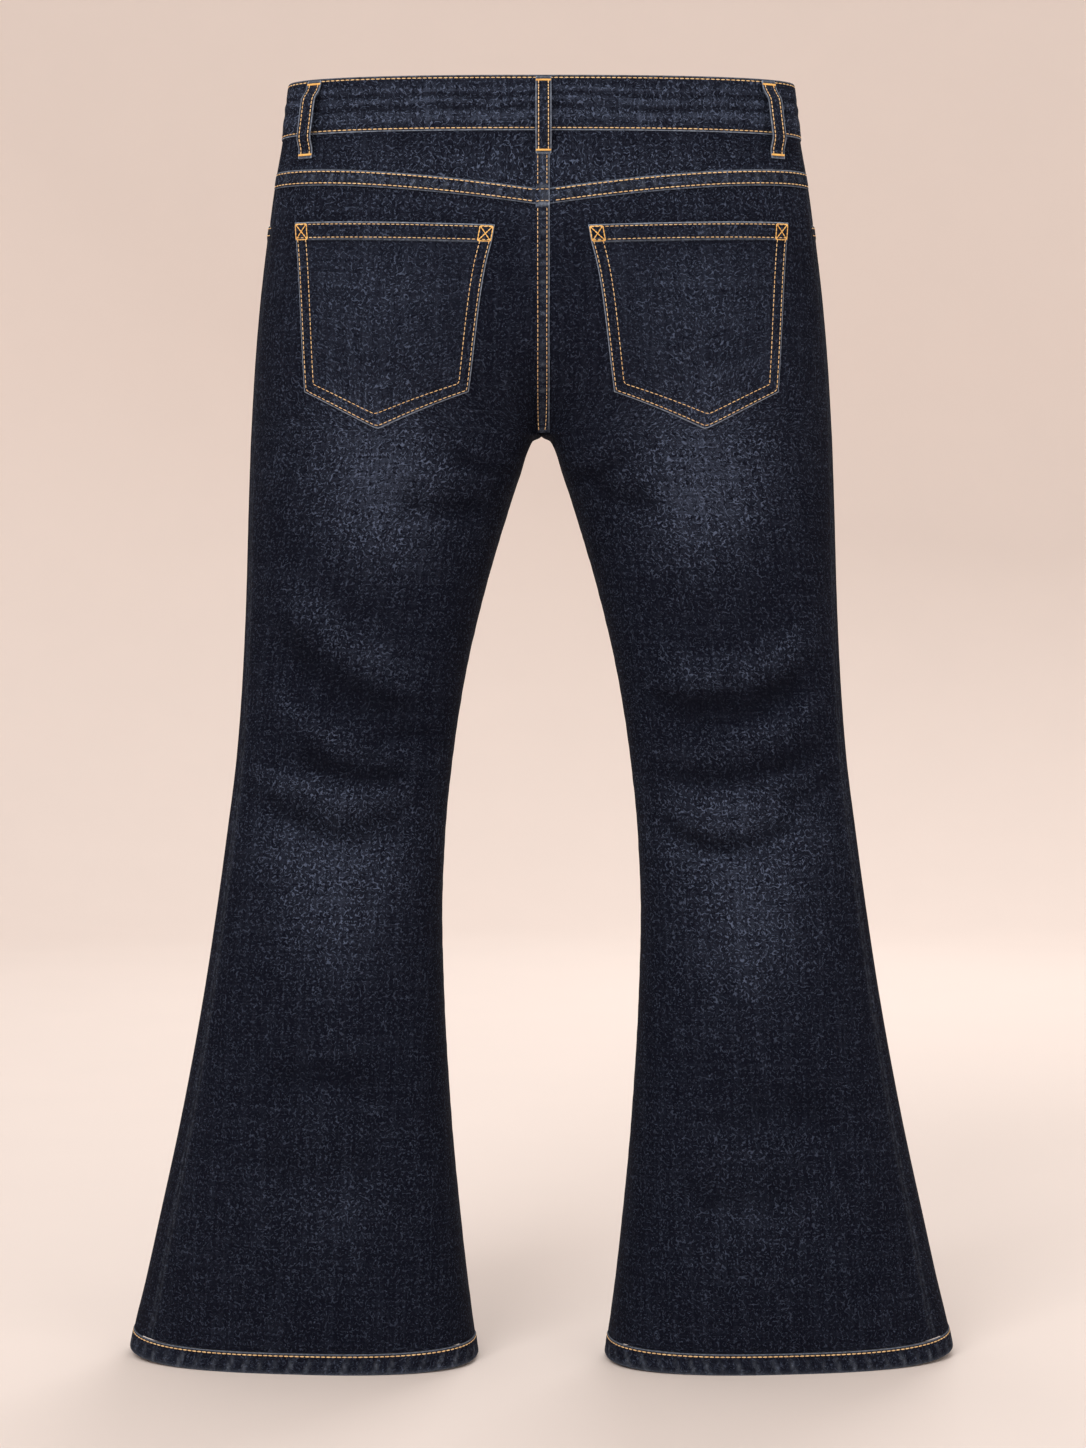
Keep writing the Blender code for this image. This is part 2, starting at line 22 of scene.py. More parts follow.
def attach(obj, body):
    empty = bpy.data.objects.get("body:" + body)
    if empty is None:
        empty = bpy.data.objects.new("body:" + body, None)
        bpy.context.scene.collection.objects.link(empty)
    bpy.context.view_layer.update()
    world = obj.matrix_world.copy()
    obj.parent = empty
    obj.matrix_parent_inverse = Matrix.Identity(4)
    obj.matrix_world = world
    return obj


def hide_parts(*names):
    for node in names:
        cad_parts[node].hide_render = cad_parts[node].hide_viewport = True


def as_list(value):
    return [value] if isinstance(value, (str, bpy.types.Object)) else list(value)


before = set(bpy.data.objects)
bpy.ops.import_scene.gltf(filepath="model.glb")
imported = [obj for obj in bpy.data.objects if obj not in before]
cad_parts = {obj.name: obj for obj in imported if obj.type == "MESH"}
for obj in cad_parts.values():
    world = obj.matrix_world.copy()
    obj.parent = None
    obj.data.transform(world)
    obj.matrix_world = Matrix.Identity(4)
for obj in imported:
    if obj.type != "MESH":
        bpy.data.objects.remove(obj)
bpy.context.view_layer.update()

LOG = logging.getLogger("jeans")
Array = np.ndarray
Colour = tuple[float, float, float]
Row = tuple[Any, Array, Array]
MM = 0.001
ROOT = "root"

# Cloth
CLOTH = 1.5 * MM
DOUBLED = 3.0 * MM
PROUD = 0.7 * MM

# Heights above the floor
WAIST_TOP = 1.040
WAIST_SEAM = 0.995
YOKE_LOW = 0.9335
POCKET_TOP = 0.920
POCKET_CORNER = 0.786
SADDLE = 0.756
FLY_FOOT = 0.846
BUTTON = 1.0175
HEM_TOP = 0.0172
LEG_END = 0.0177


class Side(IntEnum):
    """The wearer's side of a piece."""

    LEFT = -1
    RIGHT = 1

    @property
    def word(self) -> str:
        """The side's name as it stands in a piece's name."""
        return self.name.lower()


class Face(IntEnum):
    """The back or the front of the jeans."""

    BACK = 1
    FRONT = -1


class Hold(str, Enum):
    """How a sheet of cloth is held."""

    DRAPED = "draped"
    FOLDED = "folded"
    LAID = "laid"


class Section(NamedTuple):
    """Half widths from the middle plane and depths from the side line, in millimetres."""

    height: float
    outer: float
    gap: float
    back: float
    front: float


class Fold(NamedTuple):
    """A fold from start to end: shares of the leg's width from its outer edge, heights, the rise of
    its middle, its half width and its lift, in millimetres. A trough has a negative lift."""

    side: Side
    face: Face
    start: float
    start_height: float
    end: float
    end_height: float
    bow: float
    reach: float
    lift: float


class Fade(NamedTuple):
    """A worn place: its middle and half sizes in millimetres, seen square on, and how pale it is."""

    face: Face
    across: float
    height: float
    wide: float
    tall: float
    amount: float


LEFT, RIGHT, BACK, FRONT = Side.LEFT, Side.RIGHT, Face.BACK, Face.FRONT
Weigh = Callable[[Fold], float]

SECTIONS = (
    Section(0, 340.6, 52.0, 68.0, 64.0),
    Section(36, 332.9, 57.0, 67.0, 63.0),
    Section(101, 318.2, 64.8, 64.0, 60.0),
    Section(200, 296.2, 74.2, 59.0, 55.0),
    Section(299, 277.6, 80.0, 54.0, 52.0),
    Section(364, 267.4, 81.6, 50.5, 53.0),
    Section(430, 258.1, 79.1, 48.5, 55.0),
    Section(495, 249.7, 72.6, 50.0, 58.0),
    Section(561, 244.4, 62.3, 56.0, 62.0),
    Section(627, 241.1, 47.0, 65.0, 66.0),
    Section(692, 239.0, 28.0, 74.0, 69.0),
    Section(725, 237.8, 17.2, 79.6, 70.0),
    Section(752.5, 236.7, 7.0, 83.3, 70.0),
    Section(756, 236.5, 0.0, 83.7, 70.0),
    Section(815, 232.9, 0.0, 89.0, 70.0),
    Section(864, 228.8, 0.0, 87.5, 69.0),
    Section(914, 223.0, 0.0, 80.0, 67.0),
    Section(963, 216.3, 0.0, 66.5, 63.0),
    Section(995, 210.8, 0.0, 57.0, 59.0),
    Section(1018, 208.0, 0.0, 53.0, 56.5),
    Section(1040, 205.0, 0.0, 50.5, 54.5),
)

FOLDS = (
    Fold(LEFT, BACK, 0.17, 602, 0.88, 522, -18, 17, -5.0),
    Fold(LEFT, BACK, 0.22, 632, 0.70, 572, -12, 17, 2.5),
    Fold(LEFT, BACK, 0.29, 502, 0.84, 482, -9, 14, -4.5),
    Fold(LEFT, BACK, 0.17, 465, 0.88, 457, -20, 15, -4.5),
    Fold(LEFT, BACK, 0.55, 706, 0.94, 697, -6, 13, -3.0),
    Fold(LEFT, BACK, 0.30, 236, 0.78, 230, 8, 20, -2.5),
    Fold(LEFT, BACK, 0.34, 172, 0.80, 178, -8, 22, -3.0),
    Fold(RIGHT, BACK, 0.17, 566, 0.86, 534, -16, 15, -5.0),
    Fold(RIGHT, BACK, 0.15, 596, 0.78, 570, -14, 16, 2.5),
    Fold(RIGHT, BACK, 0.11, 506, 0.90, 483, -12, 13, -3.9),
    Fold(RIGHT, BACK, 0.26, 457, 0.91, 450, -28, 14, -3.6),
    Fold(RIGHT, BACK, 0.66, 705, 0.90, 713, -6, 13, -3.0),
    Fold(RIGHT, BACK, 0.26, 209, 0.66, 205, 8, 20, -2.5),
    Fold(RIGHT, BACK, 0.40, 160, 0.85, 150, -10, 22, -3.0),
    Fold(LEFT, FRONT, 0.30, 760, 0.82, 708, -10, 15, -3.5),
    Fold(LEFT, FRONT, 0.20, 548, 0.74, 530, 10, 17, -3.5),
    Fold(LEFT, FRONT, 0.34, 446, 0.90, 470, -12, 16, -4.0),
    Fold(LEFT, FRONT, 0.22, 150, 0.72, 132, -9, 20, -3.0),
    Fold(RIGHT, FRONT, 0.36, 752, 0.84, 716, -8, 14, -3.5),
    Fold(RIGHT, FRONT, 0.26, 524, 0.80, 546, 9, 16, -3.5),
    Fold(RIGHT, FRONT, 0.18, 468, 0.80, 448, -13, 17, -4.0),
    Fold(RIGHT, FRONT, 0.30, 128, 0.78, 146, -8, 20, -3.0),
)

# Finer creases that run off the main folds and from the seams
CREASES = (
    Fold(LEFT, BACK, 0.70, 742, 0.97, 722, -5, 8, -2.0),
    Fold(LEFT, BACK, 0.48, 560, 0.93, 540, -8, 8, -1.6),
    Fold(LEFT, BACK, 0.20, 545, 0.52, 508, -6, 9, 1.6),
    Fold(LEFT, BACK, 0.60, 505, 0.95, 512, 5, 7, -1.5),
    Fold(LEFT, BACK, 0.10, 486, 0.42, 474, -6, 8, 1.5),
    Fold(LEFT, BACK, 0.45, 432, 0.90, 440, -8, 9, -1.6),
    Fold(RIGHT, BACK, 0.72, 736, 0.98, 720, -5, 8, -2.0),
    Fold(RIGHT, BACK, 0.50, 546, 0.94, 552, -7, 8, -1.6),
    Fold(RIGHT, BACK, 0.14, 538, 0.50, 512, -5, 9, 1.6),
    Fold(RIGHT, BACK, 0.05, 487, 0.40, 462, -6, 8, -1.8),
    Fold(RIGHT, BACK, 0.50, 428, 0.90, 436, -7, 9, -1.4),
    Fold(LEFT, FRONT, 0.62, 790, 0.97, 742, -6, 9, -2.0),
    Fold(LEFT, FRONT, 0.50, 505, 0.93, 512, -7, 8, -1.6),
    Fold(RIGHT, FRONT, 0.60, 786, 0.97, 738, -6, 9, -2.0),
    Fold(RIGHT, FRONT, 0.46, 500, 0.92, 492, -6, 8, -1.6),
)

FADES = (
    Fade(BACK, -130, 712, 40, 51, 0.84),
    Fade(BACK, 128, 714, 40, 53, 0.88),
    Fade(BACK, -135, 752, 66, 52, 0.24),
    Fade(BACK, 135, 752, 66, 52, 0.24),
    Fade(BACK, -161, 436, 62, 44, 0.30),
    Fade(BACK, 159, 436, 64, 46, 0.40),
    Fade(BACK, -170, 390, 45, 66, 0.46),
    Fade(BACK, 166, 366, 45, 66, 0.44),
    Fade(BACK, -128, 862, 55, 42, 0.22),
    Fade(BACK, 128, 862, 55, 42, 0.22),
    Fade(BACK, -170, 150, 60, 60, 0.14),
    Fade(BACK, 170, 140, 60, 60, 0.14),
    Fade(BACK, 0, 960, 230, 34, 0.36),
    Fade(FRONT, -140, 640, 52, 120, 0.75),
    Fade(FRONT, 140, 648, 52, 120, 0.75),
    Fade(FRONT, -165, 440, 50, 60, 0.45),
    Fade(FRONT, 165, 446, 50, 60, 0.45),
    Fade(FRONT, -140, 850, 60, 40, 0.25),
    Fade(FRONT, 140, 850, 60, 40, 0.25),
)


# The belt loops: name, side, face and millimetres from the middle plane
LOOPS = (
    ("loop_back", RIGHT, BACK, 1.6),
    ("loop_left_side", LEFT, BACK, 186.0),
    ("loop_right_side", RIGHT, BACK, 186.0),
    ("loop_left_front", LEFT, FRONT, 112.0),
    ("loop_right_front", RIGHT, FRONT, 112.0),
)

# The button's radii and heights in millimetres, from its front to its back
SHANK_BUTTON = (
    (0.0, 3.0), (2.0, 2.9), (3.4, 2.5), (4.6, 2.4), (6.0, 2.9), (7.2, 3.0), (8.1, 2.6), (8.5, 2.0),
    (8.4, 1.5), (7.8, 1.2), (3.2, 1.1), (3.2, 0.0), (0.0, 0.0),
)  # fmt: skip

# The lights: name, place, aim, size in metres, power in watts and colour
LIGHTS = (
    ("key", (-1.5, -3.0, 2.9), (0.0, 0.0, 0.6), 1.8, 74.0, (1.0, 0.99, 0.98)),
    ("fill", (2.2, -2.8, 1.4), (0.0, 0.0, 0.5), 2.0, 16.0, (1.0, 0.99, 0.98)),
    ("far", (0.9, 3.0, 2.6), (0.0, 0.0, 0.6), 1.8, 47.0, (1.0, 0.99, 0.98)),
)

TWILL = {"wave_type": "BANDS", "bands_direction": "DIAGONAL", "wave_profile": "SIN"}


def smooth(start: float, end: float, value: Any) -> Any:
    """A smooth step from 0 at start to 1 at end."""
    t = np.clip((value - start) / (end - start), 0.0, 1.0)
    return t * t * (3 - 2 * t)


def smooth_mm(start: float, end: float, value: Array) -> Array:
    """The same step of a distance in metres, between two distances in millimetres."""
    return smooth(start * MM, end * MM, value)


def bump_at(value: Array, middle: float, reach: float) -> Array:
    """A bell of a distance in metres: 1 at middle, falling away over reach, in millimetres."""
    return np.exp(-(((value - middle * MM) / (reach * MM)) ** 2))


def fall(value: Array, reach: float) -> Array:
    """1 at an edge, falling away over reach millimetres of the distance in metres."""
    return np.exp(-value / (reach * MM))


def ripple(place: Array, period: float, phase: float) -> Array:
    """A smooth uneven wave between about -1 and 1.

    Args:
        place: Distances along the wave, in metres.
        period: Its usual length, in millimetres.
        phase: Where it starts, which makes one wave unlike the next.

    Returns:
        The wave's height at each place.
    """
    turn = 2 * np.pi * place / (period * MM)
    waves = np.sin(turn + phase) + 0.7 * np.sin(0.618 * turn + 2.3 * phase)
    return (waves + 0.5 * np.sin(1.73 * turn + 5.1 * phase)) / 2.2


def beaded(place: Array, period: float, phase: float) -> Array:
    """The same wave from about 0 to 1, for what comes and goes along a seam."""
    return 0.5 + 0.5 * ripple(place, period, phase)


def unit(vectors: Array) -> Array:
    """The vectors at length 1."""
    return vectors / np.maximum(np.linalg.norm(vectors, axis=-1, keepdims=True), 1e-12)


def together(*values: Any) -> list[Array]:
    """The values as arrays of numbers of one shape."""
    return np.broadcast_arrays(*(np.asarray(value, float) for value in values))


def distances(points: Array) -> Array:
    """The distance of each point of a line from its first, along the line."""
    return np.concatenate([[0.0], np.cumsum(np.linalg.norm(np.diff(points, axis=0), axis=1))])


@dataclass(frozen=True)
class Form:
    """The jeans' outer surface, without the relief of seams and bands."""

    squareness: float = 2.5
    back_rise: float = 0.150
    front_rise: float = 0.130
    notch_depth: float = 0.070
    notch_power: float = 8
    hem_turn: float = math.radians(6.5)
    turn_power: float = 1.5
    hem_lift: float = 5.0 * MM
    hem_tilt: float = 2.0 * MM
    hem_ends: float = 70 * MM
    side_line: float = 0.01034
    outseam_top: float = math.radians(12)
    outseam_turn: float = math.radians(25.6)
    outseam_start: float = 0.95
    outseam_power: float = 0.6
    yoke_rise: float = 0.0205
    yoke_curve: float = 1.6
    scoop_foot: float = 0.925
    scoop_reach: float = 0.118
    fold_ends: float = 0.25
    # How far the folds paint shade in their troughs and pale their ridges, from wear and a painted highlight
    shade_ends: float = 0.55
    full_dark: float = 7.5
    full_worn: float = 14.0
    folds: tuple[Fold, ...] = FOLDS + CREASES

    def curve(self, column: str, height: Array) -> Array:
        """One column of the SECTIONS table at any height, in metres.

        Args:
            column: The column's name.
            height: Heights in metres.

        Returns:
            The value at each height, on a curve that never overshoots the rows.
        """
        levels = np.array([row.height for row in SECTIONS])
        values = np.array([getattr(row, column) for row in SECTIONS])
        steps = np.diff(values) / np.diff(levels)
        product, total = steps[:-1] * steps[1:], steps[:-1] + steps[1:]
        middle = np.where(product > 0, 2 * product / np.where(total == 0, 1, total), 0.0)
        slopes = np.concatenate([steps[:1], middle, steps[-1:]])
        level = np.clip(np.asarray(height, float) / MM, levels[0], levels[-1])
        low = np.clip(np.searchsorted(levels, level) - 1, 0, len(levels) - 2)
        span = levels[low + 1] - levels[low]
        t = (level - levels[low]) / span
        cubic = (2 * t**3 - 3 * t**2 + 1) * values[low] + (t**3 - 2 * t**2 + t) * slopes[low] * span
        cubic += (3 * t**2 - 2 * t**3) * values[low + 1] + (t**3 - t**2) * slopes[low + 1] * span
        return cubic * MM

    def squared(self, share: Array) -> Array:
        """How far out the other axis is where a unit section is this share out on one."""
        rest = np.maximum(0.0, 1 - np.abs(share) ** self.squareness)
        return rest ** (1 / self.squareness)

    def closing(self, height: Array, back: Array) -> Array:
        """How far the back or front still closes between the legs, from 1 to 0 up the rise."""
        rise = np.where(back, self.back_rise, self.front_rise)
        return 1 - smooth(0.0, 1.0, (height - SADDLE) / rise)

    def leg_share(self, height: Array) -> Array:
        """How much of the gap between the legs moves the whole section."""
        return smooth(0.0, 1.0, (SADDLE - height) / self.notch_depth)

    def halves(self, height: Array, back: Array) -> tuple[Array, Array, Array]:
        """The half width, middle and closing angle of a section's back or front.

        Args:
            height: Heights in metres.
            back: True where the back is asked for.

        Returns:
            Three arrays.
        """
        outer, gap = self.curve("outer", height), self.curve("gap", height)
        gap = gap * self.leg_share(height)
        share = self.closing(height, back)
        above = outer / (1 + share)
        leg = np.asarray(height) <= SADDLE
        half = np.where(leg, (outer - gap) / 2, above)
        middle = np.where(leg, (outer + gap) / 2, share * above)
        angle = np.where(leg, np.pi, np.arctan2(self.squared(share), -share))
        return half, middle, angle

    def reach(self, angle: Array) -> Array:
        """The section's radius divisor at an angle."""
        n = self.squareness
        return (np.abs(np.cos(angle)) ** n + np.abs(np.sin(angle)) ** n) ** (1 / n)

    def bare(self, side: Array, height: Array, angle: Array) -> Array:
        """The form's points without folds.

        Args:
            side: -1 or 1.
            height: Heights in metres.
            angle: Angles in radians.

        Returns:
            Points, with the coordinates on the last axis.
        """
        side, height, angle = together(side, height, angle)
        back = angle >= 0
        half, middle, _ = self.halves(height, back)
        reach = self.reach(angle)
        x = half * np.cos(angle) / reach
        notch = self.curve("gap", height) * (1 - self.leg_share(height))
        x = x + np.where(np.cos(angle) < 0, notch * np.abs(np.cos(angle) / reach) ** self.notch_power, 0)
        depth = np.where(back, self.curve("back", height), self.curve("front", height))
        y = -depth * np.sin(angle) / reach
        turn = self.hem_turn * np.maximum(0.0, 1 - height / SADDLE) ** self.turn_power
        across = x * np.cos(turn) - y * np.sin(turn)
        y = x * np.sin(turn) + y * np.cos(turn)
        ends = np.cos(angle) ** 4 * (1 - smooth(0.0, self.hem_ends, height))
        rise = (self.hem_lift + self.hem_tilt * np.cos(angle)) * ends
        return np.stack([side * (middle + across), self.side_line + y, height + rise], -1)

    def normal(self, side: Array, height: Array, angle: Array) -> Array:
        """The form's unit normals, outwards, from small steps of the angle and the height."""
        turn, rise = 0.01, 2 * MM
        by_angle = self.bare(side, height, angle + turn) - self.bare(side, height, angle - turn)
        by_height = self.bare(side, height + rise, angle) - self.bare(side, height - rise, angle)
        side = np.broadcast_to(side, by_angle.shape[:-1])
        return unit(np.cross(by_height, by_angle) * side[..., None])

    def fold_sum(self, side: Array, height: Array, angle: Array, weigh: Weigh, ends: float) -> Array:
        """Adds up the folds near each place.

        Args:
            side: -1 or 1.
            height: Heights in metres.
            angle: Angles in radians.
            weigh: What one fold counts at its middle.
            ends: The share of that which it still has at its ends.

        Returns:
            The sum at each place.
        """
        side, height, angle = together(side, height, angle)
        back = angle >= 0
        share = (1 - np.cos(angle) / self.reach(angle)) / 2
        width = 2 * self.halves(height, back)[0] / MM
        total = np.zeros(angle.shape)
        for fold in self.folds:
            here = (side == fold.side) & (back == (fold.face == BACK))
            if not here.any():
                continue
            run, rise = (fold.end - fold.start) * width, fold.end_height - fold.start_height
            across, up = (share - fold.start) * width, height / MM - fold.start_height
            t = np.clip((across * run + up * rise) / (run**2 + rise**2), 0.0, 1.0)
            away = np.hypot(across - t * run, up - t * rise - fold.bow * 4 * t * (1 - t))
            strength = weigh(fold) * np.minimum(1.0, 4 * t * (1 - t) + ends)
            total += here * strength * np.exp(-((away / fold.reach) ** 2))
        return total * np.minimum(1.0, 1.4 * np.abs(np.sin(angle)))

    def fold_lift(self, side: Array, height: Array, angle: Array) -> Array:
        """How far the folds and creases move the cloth out, in metres."""
        return self.fold_sum(side, height, angle, lambda fold: fold.lift * MM, self.fold_ends)

    def fold_shade(self, side: Array, height: Array, angle: Array) -> tuple[Array, Array]:
        """How dark the painted shade in the troughs is, and how pale the ridges are from wear and a painted
        highlight, from 0 to 1.
        """
        place = (side, height, angle)
        dark = self.fold_sum(*place, lambda fold: max(0.0, -fold.lift) / self.full_dark, self.shade_ends)
        worn = self.fold_sum(*place, lambda fold: max(0.0, fold.lift) / self.full_worn, self.shade_ends)
        return np.clip(dark, 0, 1), np.clip(worn, 0, 1)

    def folded(self, side: Array, height: Array, angle: Array) -> tuple[Array, Array]:
        """Points of the folded form and their unit normals."""
        normal = self.normal(side, height, angle)
        lift = self.fold_lift(side, height, angle)
        return self.bare(side, height, angle) + normal * lift[..., None], normal

    def level(self, side: Array, height: Array, angle: Array) -> tuple[Array, Array]:
        """Points of the bare form and level unit normals, so that an edge stays at its height."""
        flat = self.normal(side, height, angle) * np.array([1.0, 1.0, 0.0])
        return self.bare(side, height, angle), unit(flat)

    def angle_at(self, across: Array, height: Array, face: Face) -> Array:
        """The angle where the form is this far from the middle plane, in metres."""
        half, middle, _ = self.halves(height, np.full(np.shape(height), face == BACK))
        share = np.minimum(1.0, (across - middle) / half)
        return face * np.arctan2(self.squared(share), share)

    def outseam(self, height: Array) -> Array:
        """The outseam's angle: it turns towards the back as it runs down."""
        below = np.maximum(0.0, 1 - height / self.outseam_start)
        return self.outseam_top + self.outseam_turn * below**self.outseam_power

    def end(self, height: Array, face: Face) -> tuple[Array, Array]:
        """The angle that even columns run to, and the real closing angle of the face."""
        back = np.full(np.shape(height), face == BACK)
        even = face * np.pi * (1 + self.closing(height, back)) / 2
        return even, face * self.halves(height, back)[2]

    def yoke_seam(self, angle: Array) -> Array:
        """The height of the seam under the yoke: lowest at the middle, level towards the side."""
        share = np.abs(np.cos(angle)) / self.reach(angle)
        return YOKE_LOW + self.yoke_rise * (1 - (1 - share) ** self.yoke_curve)

    def front_top(self, angle: Array) -> Array:
        """The front panel's top edge: the scoop up from the outseam, then the waistband."""
        reach = self.angle_at(self.scoop_reach, np.array(WAIST_SEAM), FRONT)
        start = self.outseam(self.scoop_foot)
        across = np.clip((start - angle) / (start - reach), 0.0, 1.0)
        return self.scoop_foot + (WAIST_SEAM - self.scoop_foot) * (1 - np.sqrt(1 - across**2))


FORM = Form()


def operator(operation: str, turned: bool = False) -> Callable[["Socket", Any], "Socket"]:
    """The method of one of Python's operators.

    Args:
        operation: The Math node's operation.
        turned: Whether the other value comes first.

    Returns:
        A method that joins its socket with another value.
    """

    def method(self: "Socket", other: Any) -> "Socket":
        """Joins the two values."""
        return self.joined(operation, other, self) if turned else self.joined(operation, self, other)

    return method


class Socket:
    """A value in a material's nodes that takes Python's operators."""

    __add__ = operator("ADD")
    __radd__ = operator("ADD", turned=True)
    __sub__ = operator("SUBTRACT")
    __rsub__ = operator("SUBTRACT", turned=True)
    __mul__ = operator("MULTIPLY")
    __rmul__ = operator("MULTIPLY", turned=True)

    def __init__(self, graph: "Graph", socket: bpy.types.NodeSocket) -> None:
        """Keeps the socket and the graph that it belongs to."""
        self.graph = graph
        self.socket = socket

    def joined(self, operation: str, *values: Any) -> "Socket":
        """A Math node of this operation on these values."""
        return self.graph.value("ShaderNodeMath", {"operation": operation}, dict(enumerate(values)))

    def __abs__(self) -> "Socket":
        """The size of the value."""
        return self.joined("ABSOLUTE", self)

    def clipped(self) -> "Socket":
        """The value kept between 0 and 1."""
        return self.joined("MINIMUM", self.joined("MAXIMUM", self, 0.0), 1.0)

    def step(self, start: float, end: float) -> "Socket":
        """A smooth step of the value, from 0 at start to 1 at end, which may be the lower."""
        low, high, ends = (start, end, (0.0, 1.0)) if start < end else (end, start, (1.0, 0.0))
        settings = {"interpolation_type": "SMOOTHSTEP"}
        inputs = {"Value": self, "From Min": low, "From Max": high, "To Min": ends[0], "To Max": ends[1]}
        return self.graph.value("ShaderNodeMapRange", settings, inputs)


class Graph:
    """The nodes of one material."""

    def __init__(self, name: str) -> None:
        """Makes an empty material with its shader and output."""
        self.material = bpy.data.materials.new(name)
        self.material.use_nodes = True
        self.tree = self.material.node_tree
        self.shader = self.tree.nodes["Principled BSDF"]

    def node(self, kind: str, settings: dict[str, Any], inputs: dict[Any, Any]) -> bpy.types.Node:
        """Adds a node.

        Args:
            kind: The node's type.
            settings: Its properties, set first.
            inputs: Values or links of its sockets, by name or number.

        Returns:
            The node.
        """
        made = self.tree.nodes.new(kind)
        for key, value in settings.items():
            setattr(made, key, value)
        for key, value in inputs.items():
            self.feed(made.inputs[key], value)
        return made

    def feed(self, target: bpy.types.NodeSocket, value: Any) -> None:
        """Links a socket to a value, or sets its number or colour."""
        if isinstance(value, Socket):
            self.tree.links.new(value.socket, target)
        elif isinstance(value, bpy.types.NodeSocket):
            self.tree.links.new(value, target)
        else:
            target.default_value = value

    def value(self, kind: str, settings: dict[str, Any], inputs: dict[Any, Any], output: Any = 0) -> Socket:
        """Adds a node and returns one of its outputs."""
        return Socket(self, self.node(kind, settings, inputs).outputs[output])

    def attribute(self, name: str) -> Socket:
        """A number kept on the mesh's points."""
        return self.value("ShaderNodeAttribute", {"attribute_name": name}, {}, "Fac")

    def cloth(self, across: float, up: float, shift: float = 0.0) -> Socket:
        """The cloth's flat coordinates, in metres, scaled by two numbers."""
        flat = self.value("ShaderNodeUVMap", {"uv_map": "cloth"}, {})
        inputs = {"Vector": flat, "Location": (shift, shift * 1.7, 0.0), "Scale": (across, up, 1.0)}
        return self.value("ShaderNodeMapping", {}, inputs)

    def noise(self, place: Socket, detail: float = 1.0, warp: float = 0.0) -> Socket:
        """A smooth noise of cell size 1, from 0 to 1."""
        inputs = {"Vector": place, "Scale": 1.0, "Detail": detail, "Distortion": warp}
        return self.value("ShaderNodeTexNoise", {"noise_dimensions": "2D"}, inputs)

    def cells(self, place: Socket) -> Socket:
        """The distance from the middles of uneven cells of size 1."""
        settings = {"voronoi_dimensions": "2D", "feature": "F1"}
        return self.value("ShaderNodeTexVoronoi", settings, {"Vector": place, "Scale": 1.0}, "Distance")

    def grain(self, place: Socket, scale: float, detail: float) -> Socket:
        """A smooth noise in space, from 0 to 1, of so many cells a metre."""
        mapped = self.value("ShaderNodeMapping", {}, {"Vector": place, "Scale": (scale, scale, scale)})
        return self.value("ShaderNodeTexNoise", {}, {"Vector": mapped, "Scale": 1.0, "Detail": detail})

    def finished(self, base: Any, roughness: Any, **constants: Any) -> bpy.types.Material:
        """Feeds the shader's colour and roughness, sets what is the same all over, and ends."""
        self.feed(self.shader.inputs["Base Color"], base)
        self.feed(self.shader.inputs["Roughness"], roughness)
        for name, value in constants.items():
            self.shader.inputs[name.replace("_", " ")].default_value = value
        return self.material

    def mix(self, factor: Any, low: Any, high: Any) -> Socket:
        """A colour between two colours."""
        made = self.node("ShaderNodeMix", {"data_type": "RGBA"}, {})
        by_name = {socket.identifier: socket for socket in made.inputs}
        self.feed(by_name["Factor_Float"], factor)
        for key, colour in (("A_Color", low), ("B_Color", high)):
            self.feed(by_name[key], (*colour, 1.0) if isinstance(colour, tuple) else colour)
        outputs = {socket.identifier: socket for socket in made.outputs}
        return Socket(self, outputs["Result_Color"])

    def bump(self, height: Socket, distance: float, strength: float = 1.0) -> None:
        """Gives the shader a bump of this height in metres."""
        inputs = {"Height": height, "Distance": distance, "Strength": strength}
        self.feed(self.shader.inputs["Normal"], self.value("ShaderNodeBump", {}, inputs))


